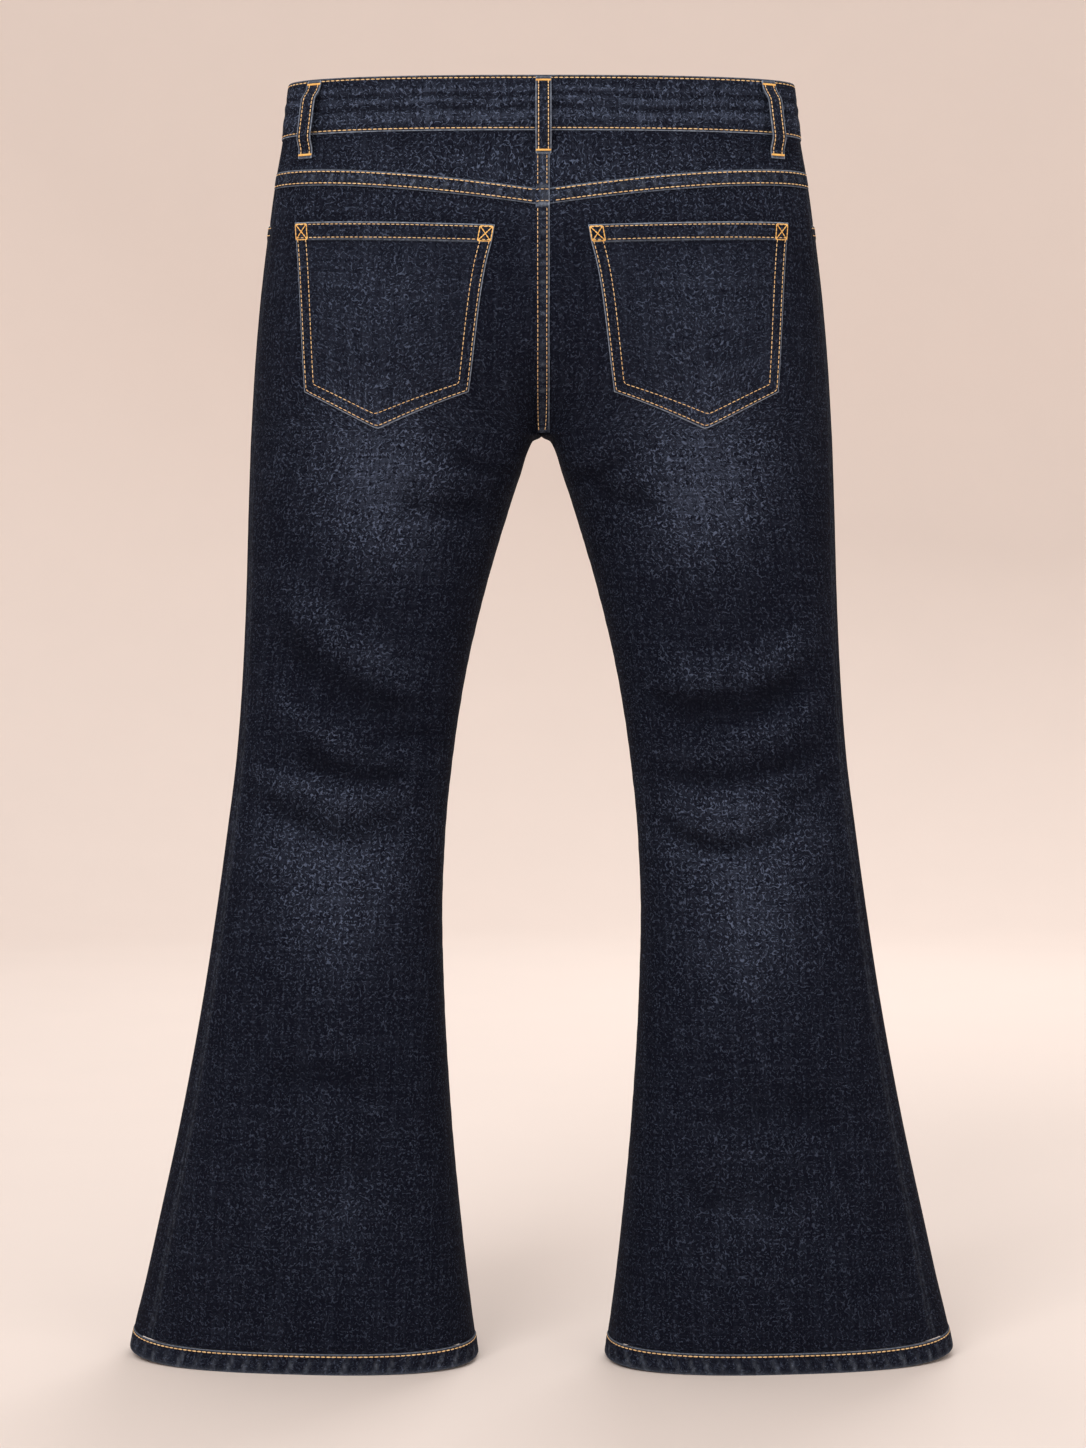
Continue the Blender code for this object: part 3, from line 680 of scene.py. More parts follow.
@dataclass(frozen=True)
class DenimFinish:
    """Dark indigo denim: a deep ground with paler slubs, fine wrinkles, fades and worn edges, with painted
    shade in troughs and hollows and a painted highlight on ridges.
    """

    name: str
    deep: Colour = (0.0040, 0.0047, 0.0100)
    pale: Colour = (0.082, 0.105, 0.165)
    worn: Colour = (0.33, 0.39, 0.49)
    ground: float = 0.006
    streaks: float = 0.085
    wrinkles: float = 1.75
    relief: float = 0.35 * MM
    shift: float = 0.0

    def material(self) -> bpy.types.Material:
        """Builds the material.

        Returns:
            The material, which reads the piece's cloth coordinates, fade, crest, wear and painted shade, and
            paints highlight and shade from the crest.
        """
        graph = Graph(self.name)

        def noise(across: float, up: float, start: float, detail: float = 1.0, warp: float = 0.0) -> Socket:
            """A noise of so many cells a metre across and up the cloth."""
            return graph.noise(graph.cloth(across, up, self.shift + start), detail, warp)

        warp, weft = noise(620, 26, 0, 2.0), noise(26, 620, 3, 2.0)
        ribs, bars = noise(190, 9, 29).step(0.50, 0.66), noise(9, 190, 37).step(0.50, 0.66)
        slub = warp.step(0.48, 0.72) + weft.step(0.48, 0.72) + ribs * 0.9 + bars * 0.7
        blotch = noise(90, 90, 5, 3.0)
        patch = 0.74 + noise(70, 70, 23).step(0.35, 0.65) * 0.26
        first, second = noise(215, 215, 7, 0.0, 0.25) - 0.5, noise(290, 290, 11, 0.0, 0.25) - 0.5
        broken = noise(370, 370, 13, 0.0).step(0.49, 0.57)
        worm = (abs(first).step(0.056, 0.028) + abs(second).step(0.056, 0.028)).clipped() * broken
        groove = (abs(first - 0.11).step(0.055, 0.015) + abs(second - 0.125).step(0.060, 0.015)).clipped()
        dot = graph.cells(graph.cloth(260, 260, self.shift + 13)).step(0.13, 0.07)
        chosen = noise(170, 170, 17).step(0.60, 0.63)
        fade, crest, wear, dark = (graph.attribute(name) for name in ("fade", "crest", "wear", "shade"))
        # soft is the fade, lightened on the ridges of the relief as a painted highlight and darkened in its
        # troughs as painted shade, by the crest
        soft = (fade + (blotch - 0.5) * 0.20 + crest * (0.08 + fade * 0.30)).clipped()
        tone = self.ground + soft * 0.17 + (slub * self.streaks) * (0.35 + soft)
        tone = tone + worm * patch * (self.wrinkles * (0.165 + soft * 1.15)) - groove * (0.04 + soft * 0.20)
        tone = (tone + dot * chosen * 0.65).clipped()
        # Painted shade: the troughs of the relief and the painted shade on the points mix the colour towards
        # a darker copy of the deep colour
        shade = tuple(0.55 * part for part in self.deep)
        painted_shade = ((0.0 - crest).clipped() * 0.40 + dark * 0.52).clipped() * 0.9
        base = graph.mix(painted_shade, graph.mix(tone, self.deep, self.pale), shade)
        edge = (wear * (0.25 + noise(420, 420, 19, 2.0) * 1.3)).clipped()
        twill = graph.value("ShaderNodeTexWave", TWILL, {"Vector": graph.cloth(1, 1), "Scale": 420.0})
        graph.bump(worm * 0.9 - groove * 0.7 + slub * 0.25 + twill * 0.20 + blotch * 0.4, self.relief)
        return graph.finished(graph.mix(edge, base, self.worn), 0.94 - soft * 0.08, Specular_IOR_Level=0.05)


@dataclass(frozen=True)
class ThreadFinish:
    """Waxed sewing thread, with its twist."""

    name: str
    colour: Colour
    shade: Colour

    def material(self) -> bpy.types.Material:
        """Builds the material on Object coordinates."""
        graph = Graph(self.name)
        place = graph.value("ShaderNodeTexCoord", {}, {}, "Object")
        grain, tint = graph.grain(place, 900.0, 1.0), graph.grain(place, 90.0, 2.0)
        mask = (grain.step(0.35, 0.65) * 0.5 + tint.step(0.4, 0.65) * 0.5).clipped()
        graph.bump(grain, 0.12 * MM)
        base = graph.mix(mask, self.shade, self.colour)
        return graph.finished(base, 0.75 - grain * 0.2, Specular_IOR_Level=0.3)


@dataclass(frozen=True)
class PlainFinish:
    """A smooth or woven finish with a little unevenness: metal, tape or a painted floor."""

    name: str
    colour: Colour
    shade: Colour
    roughness: float
    metallic: float = 0.0
    scale: float = 300.0
    relief: float = 0.05 * MM

    def material(self) -> bpy.types.Material:
        """Builds the material on Object coordinates."""
        graph = Graph(self.name)
        grain = graph.grain(graph.value("ShaderNodeTexCoord", {}, {}, "Object"), self.scale, 3.0)
        graph.bump(grain, self.relief)
        base = graph.mix(grain, self.shade, self.colour)
        return graph.finished(base, self.roughness + (grain - 0.5) * 0.2, Metallic=self.metallic)


@dataclass(frozen=True)
class Wardrobe:
    """Every material of the jeans, made once."""

    denim: bpy.types.Material
    doubled: bpy.types.Material
    inside: bpy.types.Material
    thread: bpy.types.Material
    tack: bpy.types.Material
    tape: bpy.types.Material
    brass: bpy.types.Material

    @classmethod
    def stocked(cls) -> "Wardrobe":
        """Makes the materials."""
        return cls(
            denim=DenimFinish("worn_denim").material(),
            doubled=DenimFinish(
                "seamed_denim", ground=0.034, streaks=0.10, wrinkles=1.9, shift=31.0
            ).material(),
            inside=DenimFinish(
                "denim_wrong_side",
                deep=(0.030, 0.037, 0.055),
                pale=(0.11, 0.13, 0.17),
                wrinkles=0.30,
                shift=57.0,
            ).material(),
            thread=ThreadFinish("golden_thread", (0.95, 0.66, 0.33), (0.66, 0.41, 0.19)).material(),
            tack=ThreadFinish("bartack_thread", (0.98, 0.60, 0.18), (0.72, 0.38, 0.10)).material(),
            tape=PlainFinish("zip_tape", (0.014, 0.017, 0.030), (0.007, 0.009, 0.017), 0.85).material(),
            brass=PlainFinish(
                "antique_brass", (0.62, 0.42, 0.22), (0.30, 0.18, 0.09), 0.36, 1.0, 700.0
            ).material(),
        )


class Edges(NamedTuple):
    """Distances over a sheet's surface, in metres, and its points."""

    first: Array
    last: Array
    low: Array
    high: Array
    along: Array
    up: Array
    place: Array

    def share(self) -> Array:
        """How far along its row each point is, from 0 to 1."""
        return self.first / (self.first + self.last)

    def around(self) -> Array:
        """How far along each point is, as a share of the lowest row."""
        return self.first / self.first[0, -1]


@dataclass(frozen=True)
class Stops:
    """Distances from an edge, in millimetres, at which a sheet has a line of points.

    The rows of stitches and the edges of bands lie on them, and are asked for by their number.
    """

    near: tuple[float, ...]

    def spread(self, length: float, other: "Stops", pitch: float) -> Array:
        """Places from 0 to length.

        Args:
            length: The distance between the two edges, in metres.
            other: The stops from the far edge.
            pitch: The spacing between the two edges' stops, in metres.

        Returns:
            The stops near this edge, even ones, and those near the far edge.
        """
        low, high = np.array(self.near) * MM, length - np.array(other.near[::-1]) * MM
        count = max(2, int(round((high[0] - low[-1]) / pitch)))
        return np.concatenate([low[:-1], np.linspace(low[-1], high[0], count + 1), high[1:]])


SEAM = Stops((0, 0.8, 2.0, 4.0, 7.0, 11.0))
PLAIN = Stops((0, 1.5, 4.0))


@dataclass
class Sheet:
    """One piece of cloth: a thin shell with flat coordinates, and wear and painted shade on its points.

    A row runs from one side edge to the other. Every row has as many columns as one of the usual
    length, with stops near both ends and even ones between them. Dense is how many steps measure a row.
    """

    wardrobe: Wardrobe
    name: str = ""
    side: Side = LEFT
    thickness: float = CLOTH
    held: Hold = Hold.DRAPED
    replaced: tuple[str, ...] = ()
    rests_on: tuple[str, ...] = ()
    slot: str = "denim"
    pitch: float = 3.6 * MM
    usual: float = 0.28
    ends: Stops = SEAM
    ring: bool = False
    dense: int = 361
    points: Array = field(default_factory=lambda: np.zeros(0), repr=False)
    normals: Array = field(default_factory=lambda: np.zeros(0), repr=False)
    flat: Array = field(default_factory=lambda: np.zeros(0), repr=False)
    piece: Optional[bpy.types.Object] = None

    def levels(self) -> Array:
        """The rows' levels, from the lower edge up."""
        raise NotImplementedError

    def path(self, level: float, share: Array) -> Row:
        """The side, height and angle of a row's points at shares of its length."""
        raise NotImplementedError

    def column_stops(self, length: float) -> Array:
        """The columns' distances from the first point of a row of this length."""
        near = np.array(self.ends.near) * MM
        count = len(self.ends.spread(self.usual, self.ends, self.pitch))
        even = np.linspace(near[-1], length - near[-1], count - 2 * len(near) + 2)
        return np.concatenate([near[:-1], even, length - near[-2::-1]])

    def laid(self, side: Any, height: Array, angle: Array) -> tuple[Array, Array]:
        """Points and normals of the surface that the sheet follows."""
        return FORM.folded(side, height, angle)

    def relief(self, edges: Edges) -> Array:
        """How far the sheet stands off what it follows, in metres."""
        return np.zeros(edges.first.shape)

    def settled(self, points: Array) -> Array:
        """The finished points, after any edge that has to meet another piece is moved to it."""
        return points

    def wear(self, edges: Edges) -> Array:
        """How worn the cloth is, from 0 to 1."""
        return np.zeros(edges.first.shape)

    def hollow(self, edges: Edges) -> Array:
        """Painted shade in the hollows beside its edges: how dark the cloth is there, from 0 to 1."""
        return np.zeros(edges.first.shape)

    def fade(self, edges: Edges) -> Array:
        """How faded the cloth is, from 0 to 1, by the table of fades."""
        total = np.zeros(edges.first.shape)
        for place in FADES:
            here = np.where(edges.place[..., 1] * place.face < FORM.side_line * place.face, 1.0, 0.0)
            across = (edges.place[..., 0] / MM - place.across) / place.wide
            up = (edges.place[..., 2] / MM - place.height) / place.tall
            total += here * place.amount * np.exp(-(across**2) - up**2)
        return np.clip(total, 0.0, 1.0)

    def build(self) -> "Sheet":
        """Returns:
            The sheet itself.
        """
        share = np.linspace(0.0, 1.0, self.dense)
        places = []
        for level in self.levels():
            arc = distances(FORM.bare(*self.path(level, share)))
            places.append(self.path(level, np.interp(self.column_stops(arc[-1]), arc, share)))
        side, height, angle = (np.array(part) for part in zip(*(together(*place) for place in places)))
        base, normal = self.laid(side, height, angle)
        edges = self.measured(base)
        lift = self.relief(edges)
        self.points = self.settled(base + normal * lift[..., None])
        self.normals = self.true_normals(normal)
        self.flat = np.stack([edges.along, edges.up], -1) + self.pattern_place()
        # Painted shade in the folds' troughs; the ridges' pale, from wear and a painted highlight, joins the
        # fade
        dark, pale = FORM.fold_shade(side, height, angle)
        values = {
            "fade": np.clip(self.fade(edges) + pale, 0, 1),
            "crest": self.crest(FORM.fold_lift(side, height, angle) + lift),
            "wear": self.wear(edges),
            # shade: painted shade in the folds' troughs and painted shadow beside lapping edges
            "shade": np.clip(dark + self.hollow(edges), 0, 1),
        }
        self.piece = self.shell(values, normal)
        return self

    def pattern_place(self) -> Array:
        """Where on the bolt the piece is cut, so that no two pieces have the same weave."""
        number = sum(ord(letter) * (place + 1) for place, letter in enumerate(self.name))
        return np.array([1.37 * (number % 11), 1.91 * (number % 7)])

    def measured(self, base: Array) -> Edges:
        """Distances over the surface from its four edges."""
        across = np.linalg.norm(np.diff(base, axis=1), axis=2)
        upward = np.linalg.norm(np.diff(base, axis=0), axis=2)
        first = np.concatenate([np.zeros((len(base), 1)), np.cumsum(across, 1)], 1)
        low = np.concatenate([np.zeros((1, base.shape[1])), np.cumsum(upward, 0)], 0)
        along = first - first[:, first.shape[1] // 2][:, None]
        up = np.broadcast_to(low[:, low.shape[1] // 2][:, None], low.shape)
        return Edges(first, first[:, -1:] - first, low, low[-1:] - low, along, up, base)

    def true_normals(self, rough: Array) -> Array:
        """The unit normals of the finished points, turned as the rough ones are."""
        by_column = np.gradient(self.points, axis=1)
        by_row = np.gradient(self.points, axis=0)
        normal = unit(np.cross(by_column, by_row))
        return normal * np.sign((normal * rough).sum(-1, keepdims=True))

    def crest(self, rise: Array) -> Array:
        """Where the surface stands above what is round it (positive) or below it (negative).

        Args:
            rise: How far each point stands off the bare form, in metres.

        Returns:
            The rise less its mean over 9 mm each way, taken twice on both axes, from -1 to 1.
        """
        reach = max(2, int(9 * MM / self.pitch))
        size = 2 * reach + 1
        calm = rise
        for _ in range(2):
            for _ in range(2):
                wide = np.pad(calm, [(reach, reach), (0, 0)], mode="edge")
                total = np.insert(np.cumsum(wide, axis=0), 0, 0.0, axis=0)
                calm = (total[size:] - total[:-size]) / size
            calm = calm.T
        return np.clip((rise - calm) / MM, -1.0, 1.0)

    def grid(self, values: dict[str, Array]) -> bpy.types.Mesh:
        """The sheet's mesh: a grid moved to its points, with its flat coordinates and its numbers."""
        rows, columns = self.points.shape[:2]
        maker = bmesh.new()
        bmesh.ops.create_grid(maker, x_segments=columns - 1, y_segments=rows - 1, size=1.0)
        mesh = finished_mesh(self.name, maker)
        spots = np.empty(len(mesh.vertices) * 3, np.float32)
        mesh.vertices.foreach_get("co", spots)
        spots = spots.reshape(-1, 3)
        i = np.rint((spots[:, 0] + 1) / 2 * (columns - 1)).astype(int)
        j = np.rint((spots[:, 1] + 1) / 2 * (rows - 1)).astype(int)
        mesh.vertices.foreach_set("co", self.points[j, i].astype(np.float32).ravel())
        corners = np.empty(len(mesh.loops), np.int32)
        mesh.loops.foreach_get("vertex_index", corners)
        layer = mesh.uv_layers.new(name="cloth")
        layer.uv.foreach_set("vector", self.flat[j, i][corners].astype(np.float32).ravel())
        for name, numbers in values.items():
            kept = mesh.attributes.new(name, "FLOAT", "POINT")
            kept.data.foreach_set("value", numbers[j, i].astype(np.float32))
        return mesh

    def faces_inwards(self, rough: Array) -> bool:
        """Whether the grid's middle faces against the form's normals."""
        row, column = self.points.shape[0] // 2, self.points.shape[1] // 2
        by_column = self.points[row, column + 1] - self.points[row, column - 1]
        by_row = self.points[row + 1, column] - self.points[row - 1, column]
        return bool(np.dot(np.cross(by_column, by_row), rough[row, column]) < 0)

    def shell(self, values: dict[str, Array], rough: Array) -> bpy.types.Object:
        """Args:
            values: Numbers to keep on the points, by name.
            rough: The form's normals, which the faces are turned to.

        Returns:
            The piece.
        """
        mesh = self.grid(values)
        if self.faces_inwards(rough):
            mesh.flip_normals()
        if self.ring:
            maker = bmesh.new()
            maker.from_mesh(mesh)
            bmesh.ops.remove_doubles(maker, verts=maker.verts, dist=0.02 * MM)
            maker.to_mesh(mesh)
            maker.free()
        mesh.shade_smooth()
        mesh.materials.append(self.wardrobe.denim if self.slot == "denim" else self.wardrobe.doubled)
        mesh.materials.append(self.wardrobe.inside)
        piece = placed(self.name, mesh)
        wall = piece.modifiers.new("wall", "SOLIDIFY")
        wall.thickness = self.thickness
        wall.offset = -1.0
        wall.use_even_offset = True
        wall.material_offset = 1
        edge = piece.modifiers.new("edge", "BEVEL")
        edge.width = min(0.45 * MM, self.thickness * 0.28)
        edge.segments = 2
        edge.limit_method = "ANGLE"
        edge.angle_limit = math.radians(55)
        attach(piece, ROOT)
        if self.replaced:
            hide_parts(*self.replaced)
        self.declare(piece)
        return piece

    def area(self) -> float:
        """The surface that shows, in square metres."""
        a = self.points[1:, :-1] - self.points[:-1, :-1]
        b = self.points[:-1, 1:] - self.points[:-1, :-1]
        return float(np.linalg.norm(np.cross(a, b), axis=-1).sum())

    def declare(self, piece: bpy.types.Object) -> None:
        """Logs the piece's size and the surface that shows."""
        wide = float(np.linalg.norm(np.diff(self.points, axis=1), axis=2).sum(1).max())
        tall = float(np.linalg.norm(np.diff(self.points, axis=0), axis=2).sum(0).max())
        LOG.info("%s: %.0f x %.0f mm, %.4f m2", piece.name, wide / MM, tall / MM, self.area())
        cut = (round(wide, 3), round(tall, 3))
        area = round(min(self.area(), cut[0] * cut[1]), 5)
        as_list(self.rests_on)

    def row_line(self, row: int, start: int = 0, end: Optional[int] = None) -> "Line":
        """A line along a row of the finished surface."""
        return Line(self.points[row, start:end], self.normals[row, start:end])

    def column_line(self, column: int, start: int = 0, end: Optional[int] = None) -> "Line":
        """A line along a column of the finished surface."""
        return Line(self.points[start:end, column], self.normals[start:end, column])

    def project(self, points: Array, margin: float = 8 * MM) -> "Line":
        """The nearest places on the finished surface.

        Args:
            points: Points near the surface.
            margin: How far round them the surface is searched, in metres.

        Returns:
            The nearest places and the surface's normals there.
        """
        low, high = points.min(0) - margin, points.max(0) + margin
        inside = ((self.points > low) & (self.points < high)).all(-1)[:-1, :-1]
        columns = self.points.shape[1]
        ring = np.array([0, 1, columns + 1, columns])
        quads = [(j * columns + i + ring).tolist() for j, i in np.argwhere(inside)]
        tree = BVHTree.FromPolygons(self.points.reshape(-1, 3).tolist(), quads)
        found = [tree.find_nearest(Vector(point)) for point in points]
        spots, normals = (np.array([tuple(hit[k]) for hit in found]) for k in (0, 1))
        middle = self.normals.reshape(-1, 3)[[quads[hit[2]][0] for hit in found]]
        return Line(spots, normals * np.sign((normals * middle).sum(-1, keepdims=True)))

    def to_line(self, line: Array, base: Array) -> Array:
        """The distance of each grid point from a line of points, in metres."""
        away = np.full(base.shape[:2], 1.0)
        for point in line:
            away = np.minimum(away, np.linalg.norm(base - point, axis=-1))
        return away


def finished_mesh(name: str, maker: bmesh.types.BMesh) -> bpy.types.Mesh:
    """The maker's shape as a mesh of this name; the maker is freed."""
    mesh = bpy.data.meshes.new(name)
    maker.to_mesh(mesh)
    maker.free()
    return mesh


def spun(profile: list[tuple[float, float]], steps: int, merge: float) -> bmesh.types.BMesh:
    """Turns a profile round the Z axis.

    Args:
        profile: Radii and heights, in metres.
        steps: How many steps make the turn.
        merge: How near two points are merged, in metres.

    Returns:
        The shape, its faces outwards.
    """
    maker = bmesh.new()
    spots = [maker.verts.new((radius, 0.0, height)) for radius, height in profile]
    edges = [maker.edges.new(pair) for pair in zip(spots, spots[1:])]
    turn = {"cent": (0, 0, 0), "axis": (0, 0, 1), "angle": 2 * math.pi, "steps": steps, "use_merge": True}
    bmesh.ops.spin(maker, geom=spots + edges, **turn)
    bmesh.ops.remove_doubles(maker, verts=maker.verts, dist=merge)
    bmesh.ops.recalc_face_normals(maker, faces=maker.faces)
    return maker


def placed(name: str, data: Any) -> bpy.types.Object:
    """An object of this name and mesh, lamp or lens in the scene, at the origin."""
    piece = bpy.data.objects.new(name, data)
    bpy.context.scene.collection.objects.link(piece)
    return piece


class Line(NamedTuple):
    """Points on a surface and its normals there."""

    points: Array
    normals: Array

    def then(self, other: "Line") -> "Line":
        """This line and another one after it."""
        return Line(*(np.concatenate(pair) for pair in zip(self, other)))

    def turned(self) -> "Line":
        """The same line from its other end."""
        return Line(self.points[::-1], self.normals[::-1])

    def at(self, places: Array) -> "Line":
        """The points and normals at these distances along the line, in metres."""
        arc = distances(self.points)
        points, normals = (
            np.stack([np.interp(places, arc, part[:, k]) for k in range(3)], -1) for part in self
        )
        return Line(points, unit(normals))

    def length(self) -> float:
        """The line's length in metres."""
        return float(distances(self.points)[-1])


@dataclass
class Stitching:
    """Rows of thread on one group of pieces, joined into one mesh."""

    name: str
    material: bpy.types.Material
    pitch: float = 4.2 * MM
    filled: float = 0.87
    width: float = 0.95 * MM
    rise: float = 0.68 * MM
    seat: float = 0.12 * MM
    sides: int = 6
    rings: int = 4
    places: list[Array] = field(default_factory=list, repr=False)

    def stitches(self, start: Array, end: Array, normal: Array, width: float) -> None:
        """Adds stitches between pairs of points of a surface.

        Args:
            start: The stitches' first points.
            end: Their last points.
            normal: The surface's normals at their middles.
            width: How wide they are, in metres.
        """
        along = end - start
        across = unit(np.cross(normal, along))
        out = unit(np.cross(along, across))
        middle = (start + end) / 2 + out * self.seat
        self.places.append(np.stack([across * width, out * self.rise, along, middle], axis=1))

    def sew(self, line: Line, skip: float = 0.0) -> None:
        """Sews a row along a line.

        Args:
            line: Where the row runs.
            skip: How far from each end of the line the row starts and stops, in metres.
        """
        length = line.length() - 2 * skip
        number = max(1, int(round(length / self.pitch)))
        starts = skip + np.arange(number) * length / number
        sway = 0.06 * np.sin(np.arange(number) * 2.4)
        a = line.at(starts + length / number * (1 - self.filled) / 2)
        b = line.at(starts + length / number * (1 + self.filled) / 2)
        side = unit(np.cross(a.normals, b.points - a.points)) * (sway * MM)[:, None]
        self.stitches(a.points - side, b.points + side, a.normals, self.width)

    def sewn(self, lines: Iterable[Line], skip: float = 0.0) -> bpy.types.Object:
        """Sews a row along each line and makes the joined piece."""
        for line in lines:
            self.sew(line, skip)
        return self.finish()

    def tack(self, line: Line, reach: float, pitch: float = 0.62 * MM) -> None:
        """Sews a bartack: close stitches across a short line.

        Args:
            line: The tack's middle line.
            reach: Half the tack's width, in metres.
            pitch: The distance between its stitches, in metres.
        """
        number = max(2, int(round(line.length() / pitch)))
        spots = line.at((np.arange(number) + 0.5) * line.length() / number)
        along = unit(np.gradient(spots.points, axis=0))
        side = unit(np.cross(spots.normals, along)) * reach
        slant = along * pitch * 0.5
        self.stitches(spots.points - side - slant, spots.points + side + slant, spots.normals, pitch * 1.3)

    def finish(self) -> bpy.types.Object:
        """Makes the joined piece.

        Returns:
            The piece, which rides on the root body.
        """
        maker = bmesh.new()
        bmesh.ops.create_uvsphere(maker, u_segments=self.sides, v_segments=self.rings, radius=0.5)
        places = np.concatenate(self.places)
        mesh = repeated(self.name, maker, places)
        mesh.shade_smooth()
        mesh.materials.append(self.material)
        piece = placed(self.name, mesh)
        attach(piece, ROOT)
        LOG.info("%s: %d stitches", self.name, len(places))
        return piece


def repeated(name: str, maker: bmesh.types.BMesh, places: Array) -> bpy.types.Mesh:
    """Copies one shape to many places, as one joined mesh.

    Args:
        name: The mesh's name.
        maker: The shape, which is freed.
        places: For each copy its three axes and its middle.

    Returns:
        The joined mesh.
    """
    shape = np.array([[*vertex.co, 1.0] for vertex in maker.verts])
    faces = [np.array([vertex.index for vertex in face.verts]) for face in maker.faces]
    maker.free()
    points = np.einsum("vk,nkc->nvc", shape, places).reshape(-1, 3)
    starts = range(0, len(shape) * len(places), len(shape))
    copies = [(face + start).tolist() for start in starts for face in faces]
    mesh = bpy.data.meshes.new(name)
    mesh.from_pydata(points.tolist(), [], copies)
    return mesh


def bend_to_seam(share: Array, straight: float = 0.727) -> Array:
    """How far a row's angles are bent to the closing seam, from 0 where it is straight to 1."""
    return np.clip((share - straight) / (1 - straight), 0.0, 1.0) ** 1.5


@dataclass
class LegPanel(Sheet):
    """The back or front of a leg, from above the hem to the yoke or the waistband."""

    face: Face = BACK
    usual: float = 0.27
    top: float = YOKE_LOW
    shear_from: float = 0.850

    def levels(self) -> Array:
        """Rows from the leg's end to the top edge, closer where the legs part."""
        rows = LEG_END + SEAM.spread(self.top - LEG_END, SEAM, self.pitch)
        fork = np.arange(SADDLE - 12 * MM, SADDLE + 2 * MM, 1.2 * MM)
        return np.sort(np.concatenate([rows[(rows < fork[0]) | (rows > fork[-1])], fork]))

    def path(self, level: float, share: Array) -> Row:
        """A row from the outseam to the closing seam, bent up to the top edge's shape."""
        part = smooth(self.shear_from, self.top, level) if self.face == FRONT else 0.0
        start = FORM.outseam(level - (WAIST_SEAM - FORM.scoop_foot) * part)
        even, seam = FORM.end(np.array(level), self.face)
        angle = start + (even - start) * share + (seam - even) * bend_to_seam(share)
        if self.face == BACK:
            height = level + (FORM.yoke_seam(angle) - YOKE_LOW) * smooth(self.shear_from, self.top, level)
        else:
            height = level + (FORM.front_top(angle) - WAIST_SEAM) * part
        return float(self.side), height, angle

    def relief(self, edges: Edges) -> Array:
        """Puckers along the seams, and the fly's doubled edge on the left front."""
        lift = -0.35 * MM * (bump_at(edges.first, 0, 1.2) + bump_at(edges.last, 0, 1.2))
        wave = ripple(edges.up, 19, 1.3 * self.side + 0.7 * self.face)
        lift = lift + 0.30 * MM * wave * (fall(edges.first, 9) + fall(edges.last, 9))
        low = ripple(edges.along, 12, 2.1 * self.side)
        lift = lift + 0.45 * MM * low * fall(edges.low, 14) * smooth_mm(0, 2, edges.low)
        if self.face == BACK:
            return lift
        away = self.to_line(edges.place[-1], edges.place)
        inside = smooth_mm(1, 10, edges.first)
        lift = lift + (0.55 * smooth_mm(11, 9.5, away) - 0.5 * fall(away, 0.6)) * inside * MM
        above = smooth_mm(0, 20, edges.place[..., 2] - FLY_FOOT)
        across = np.abs(edges.place[..., 0])
        if self.side == LEFT:
            return lift + 0.9 * MM * above * smooth_mm(38, 33, across)
        return lift - 0.5 * MM * above * smooth_mm(9, 2, across)

    def settled(self, points: Array) -> Array:
        """The finished points, with the closing edge brought to the middle plane up the rise."""
        meets = np.abs(points[:, -1, 0]) < 0.6 * MM
        points[meets, -1, 0] = -0.05 * MM * self.side
        return points

    def wear(self, edges: Edges) -> Array:
        """Paler beads along the seams."""
        beads = beaded(edges.up, 12, 0.4 * self.side + self.face)
        worn = 0.09 * beads * (bump_at(edges.first, 2.0, 1.4) + bump_at(edges.last, 0.8, 1.2))
        if self.face == FRONT:
            worn = worn + 0.5 * fall(self.to_line(edges.place[-1], edges.place), 0.8)
        return np.clip(worn, 0, 1)

    def hollow(self, edges: Edges) -> Array:
        """Painted shadow under the piece that laps the top edge."""
        return 0.8 * smooth_mm(8, 0.5, edges.high)


@dataclass
class Yoke(Sheet):
    """The yoke, whose lower edge is felled over the panel in a raised band."""

    overhang: float = 0.4 * MM
    rows: Stops = Stops(
        (0, 0.5, 1.1, 1.7, 2.3, 2.9, 4.0, 6.8, 9.6, 11.0, 11.6, 12.2, 12.8, 13.3, 13.8, 14.4, 16)
    )

    def levels(self) -> Array:
        """Rows by their distance above the seam under the yoke."""
        return self.rows.spread(WAIST_SEAM - YOKE_LOW + self.overhang, PLAIN, 2.6 * MM)

    def path(self, level: float, share: Array) -> Row:
        """A row that runs with the seam below and level at the top."""
        middle = POCKET_TOP + 0.02
        start = FORM.outseam(middle)
        even, seam = FORM.end(np.array(middle), BACK)
        bend = bend_to_seam(share)
        angle = start + (even - start) * share + (seam - even) * bend
        foot = FORM.yoke_seam(angle) - self.overhang
        total = WAIST_SEAM - YOKE_LOW + self.overhang
        bending = smooth(0.018, total, level)
        height = foot + level + (WAIST_SEAM - foot - total) * bending
        closing = FORM.halves(height, np.full(height.shape, True))[2]
        return float(self.side), height, angle + (closing - seam) * bend

    def relief(self, edges: Edges) -> Array:
        """The felled band, its two rows of stitches, and puckers between them."""
        up = edges.low
        step = 1.15 * MM * (1 - smooth_mm(13.0, 13.9, up))
        groove = bump_at(up, 2.3, 0.6) + bump_at(up, 11.6, 0.6)
        roping = ripple(edges.along, 8.5, 1.7 * self.side) * bump_at(up, 7, 3.6)
        round_off = 0.45 * MM * fall(up, 0.6)
        lift = step - 0.28 * MM * groove + 0.22 * MM * roping - round_off
        above = ripple(edges.along, 21, 0.9 * self.side) * smooth_mm(15, 22, up)
        return lift + 0.35 * MM * above

    def wear(self, edges: Edges) -> Array:
        """Pale upper and lower edges of the band, and beads between the rows."""
        beads = beaded(edges.along, 8.5, 1.7 * self.side)
        upper = bump_at(edges.low, 13.3, 0.5) * (0.55 + 0.30 * beads)
        lower = bump_at(edges.low, 0.5, 0.4) * (0.20 + 0.25 * beads)
        between = bump_at(edges.low, 7, 3.4) * beads**3 * 0.20
        return np.clip(upper + lower + between, 0, 1)


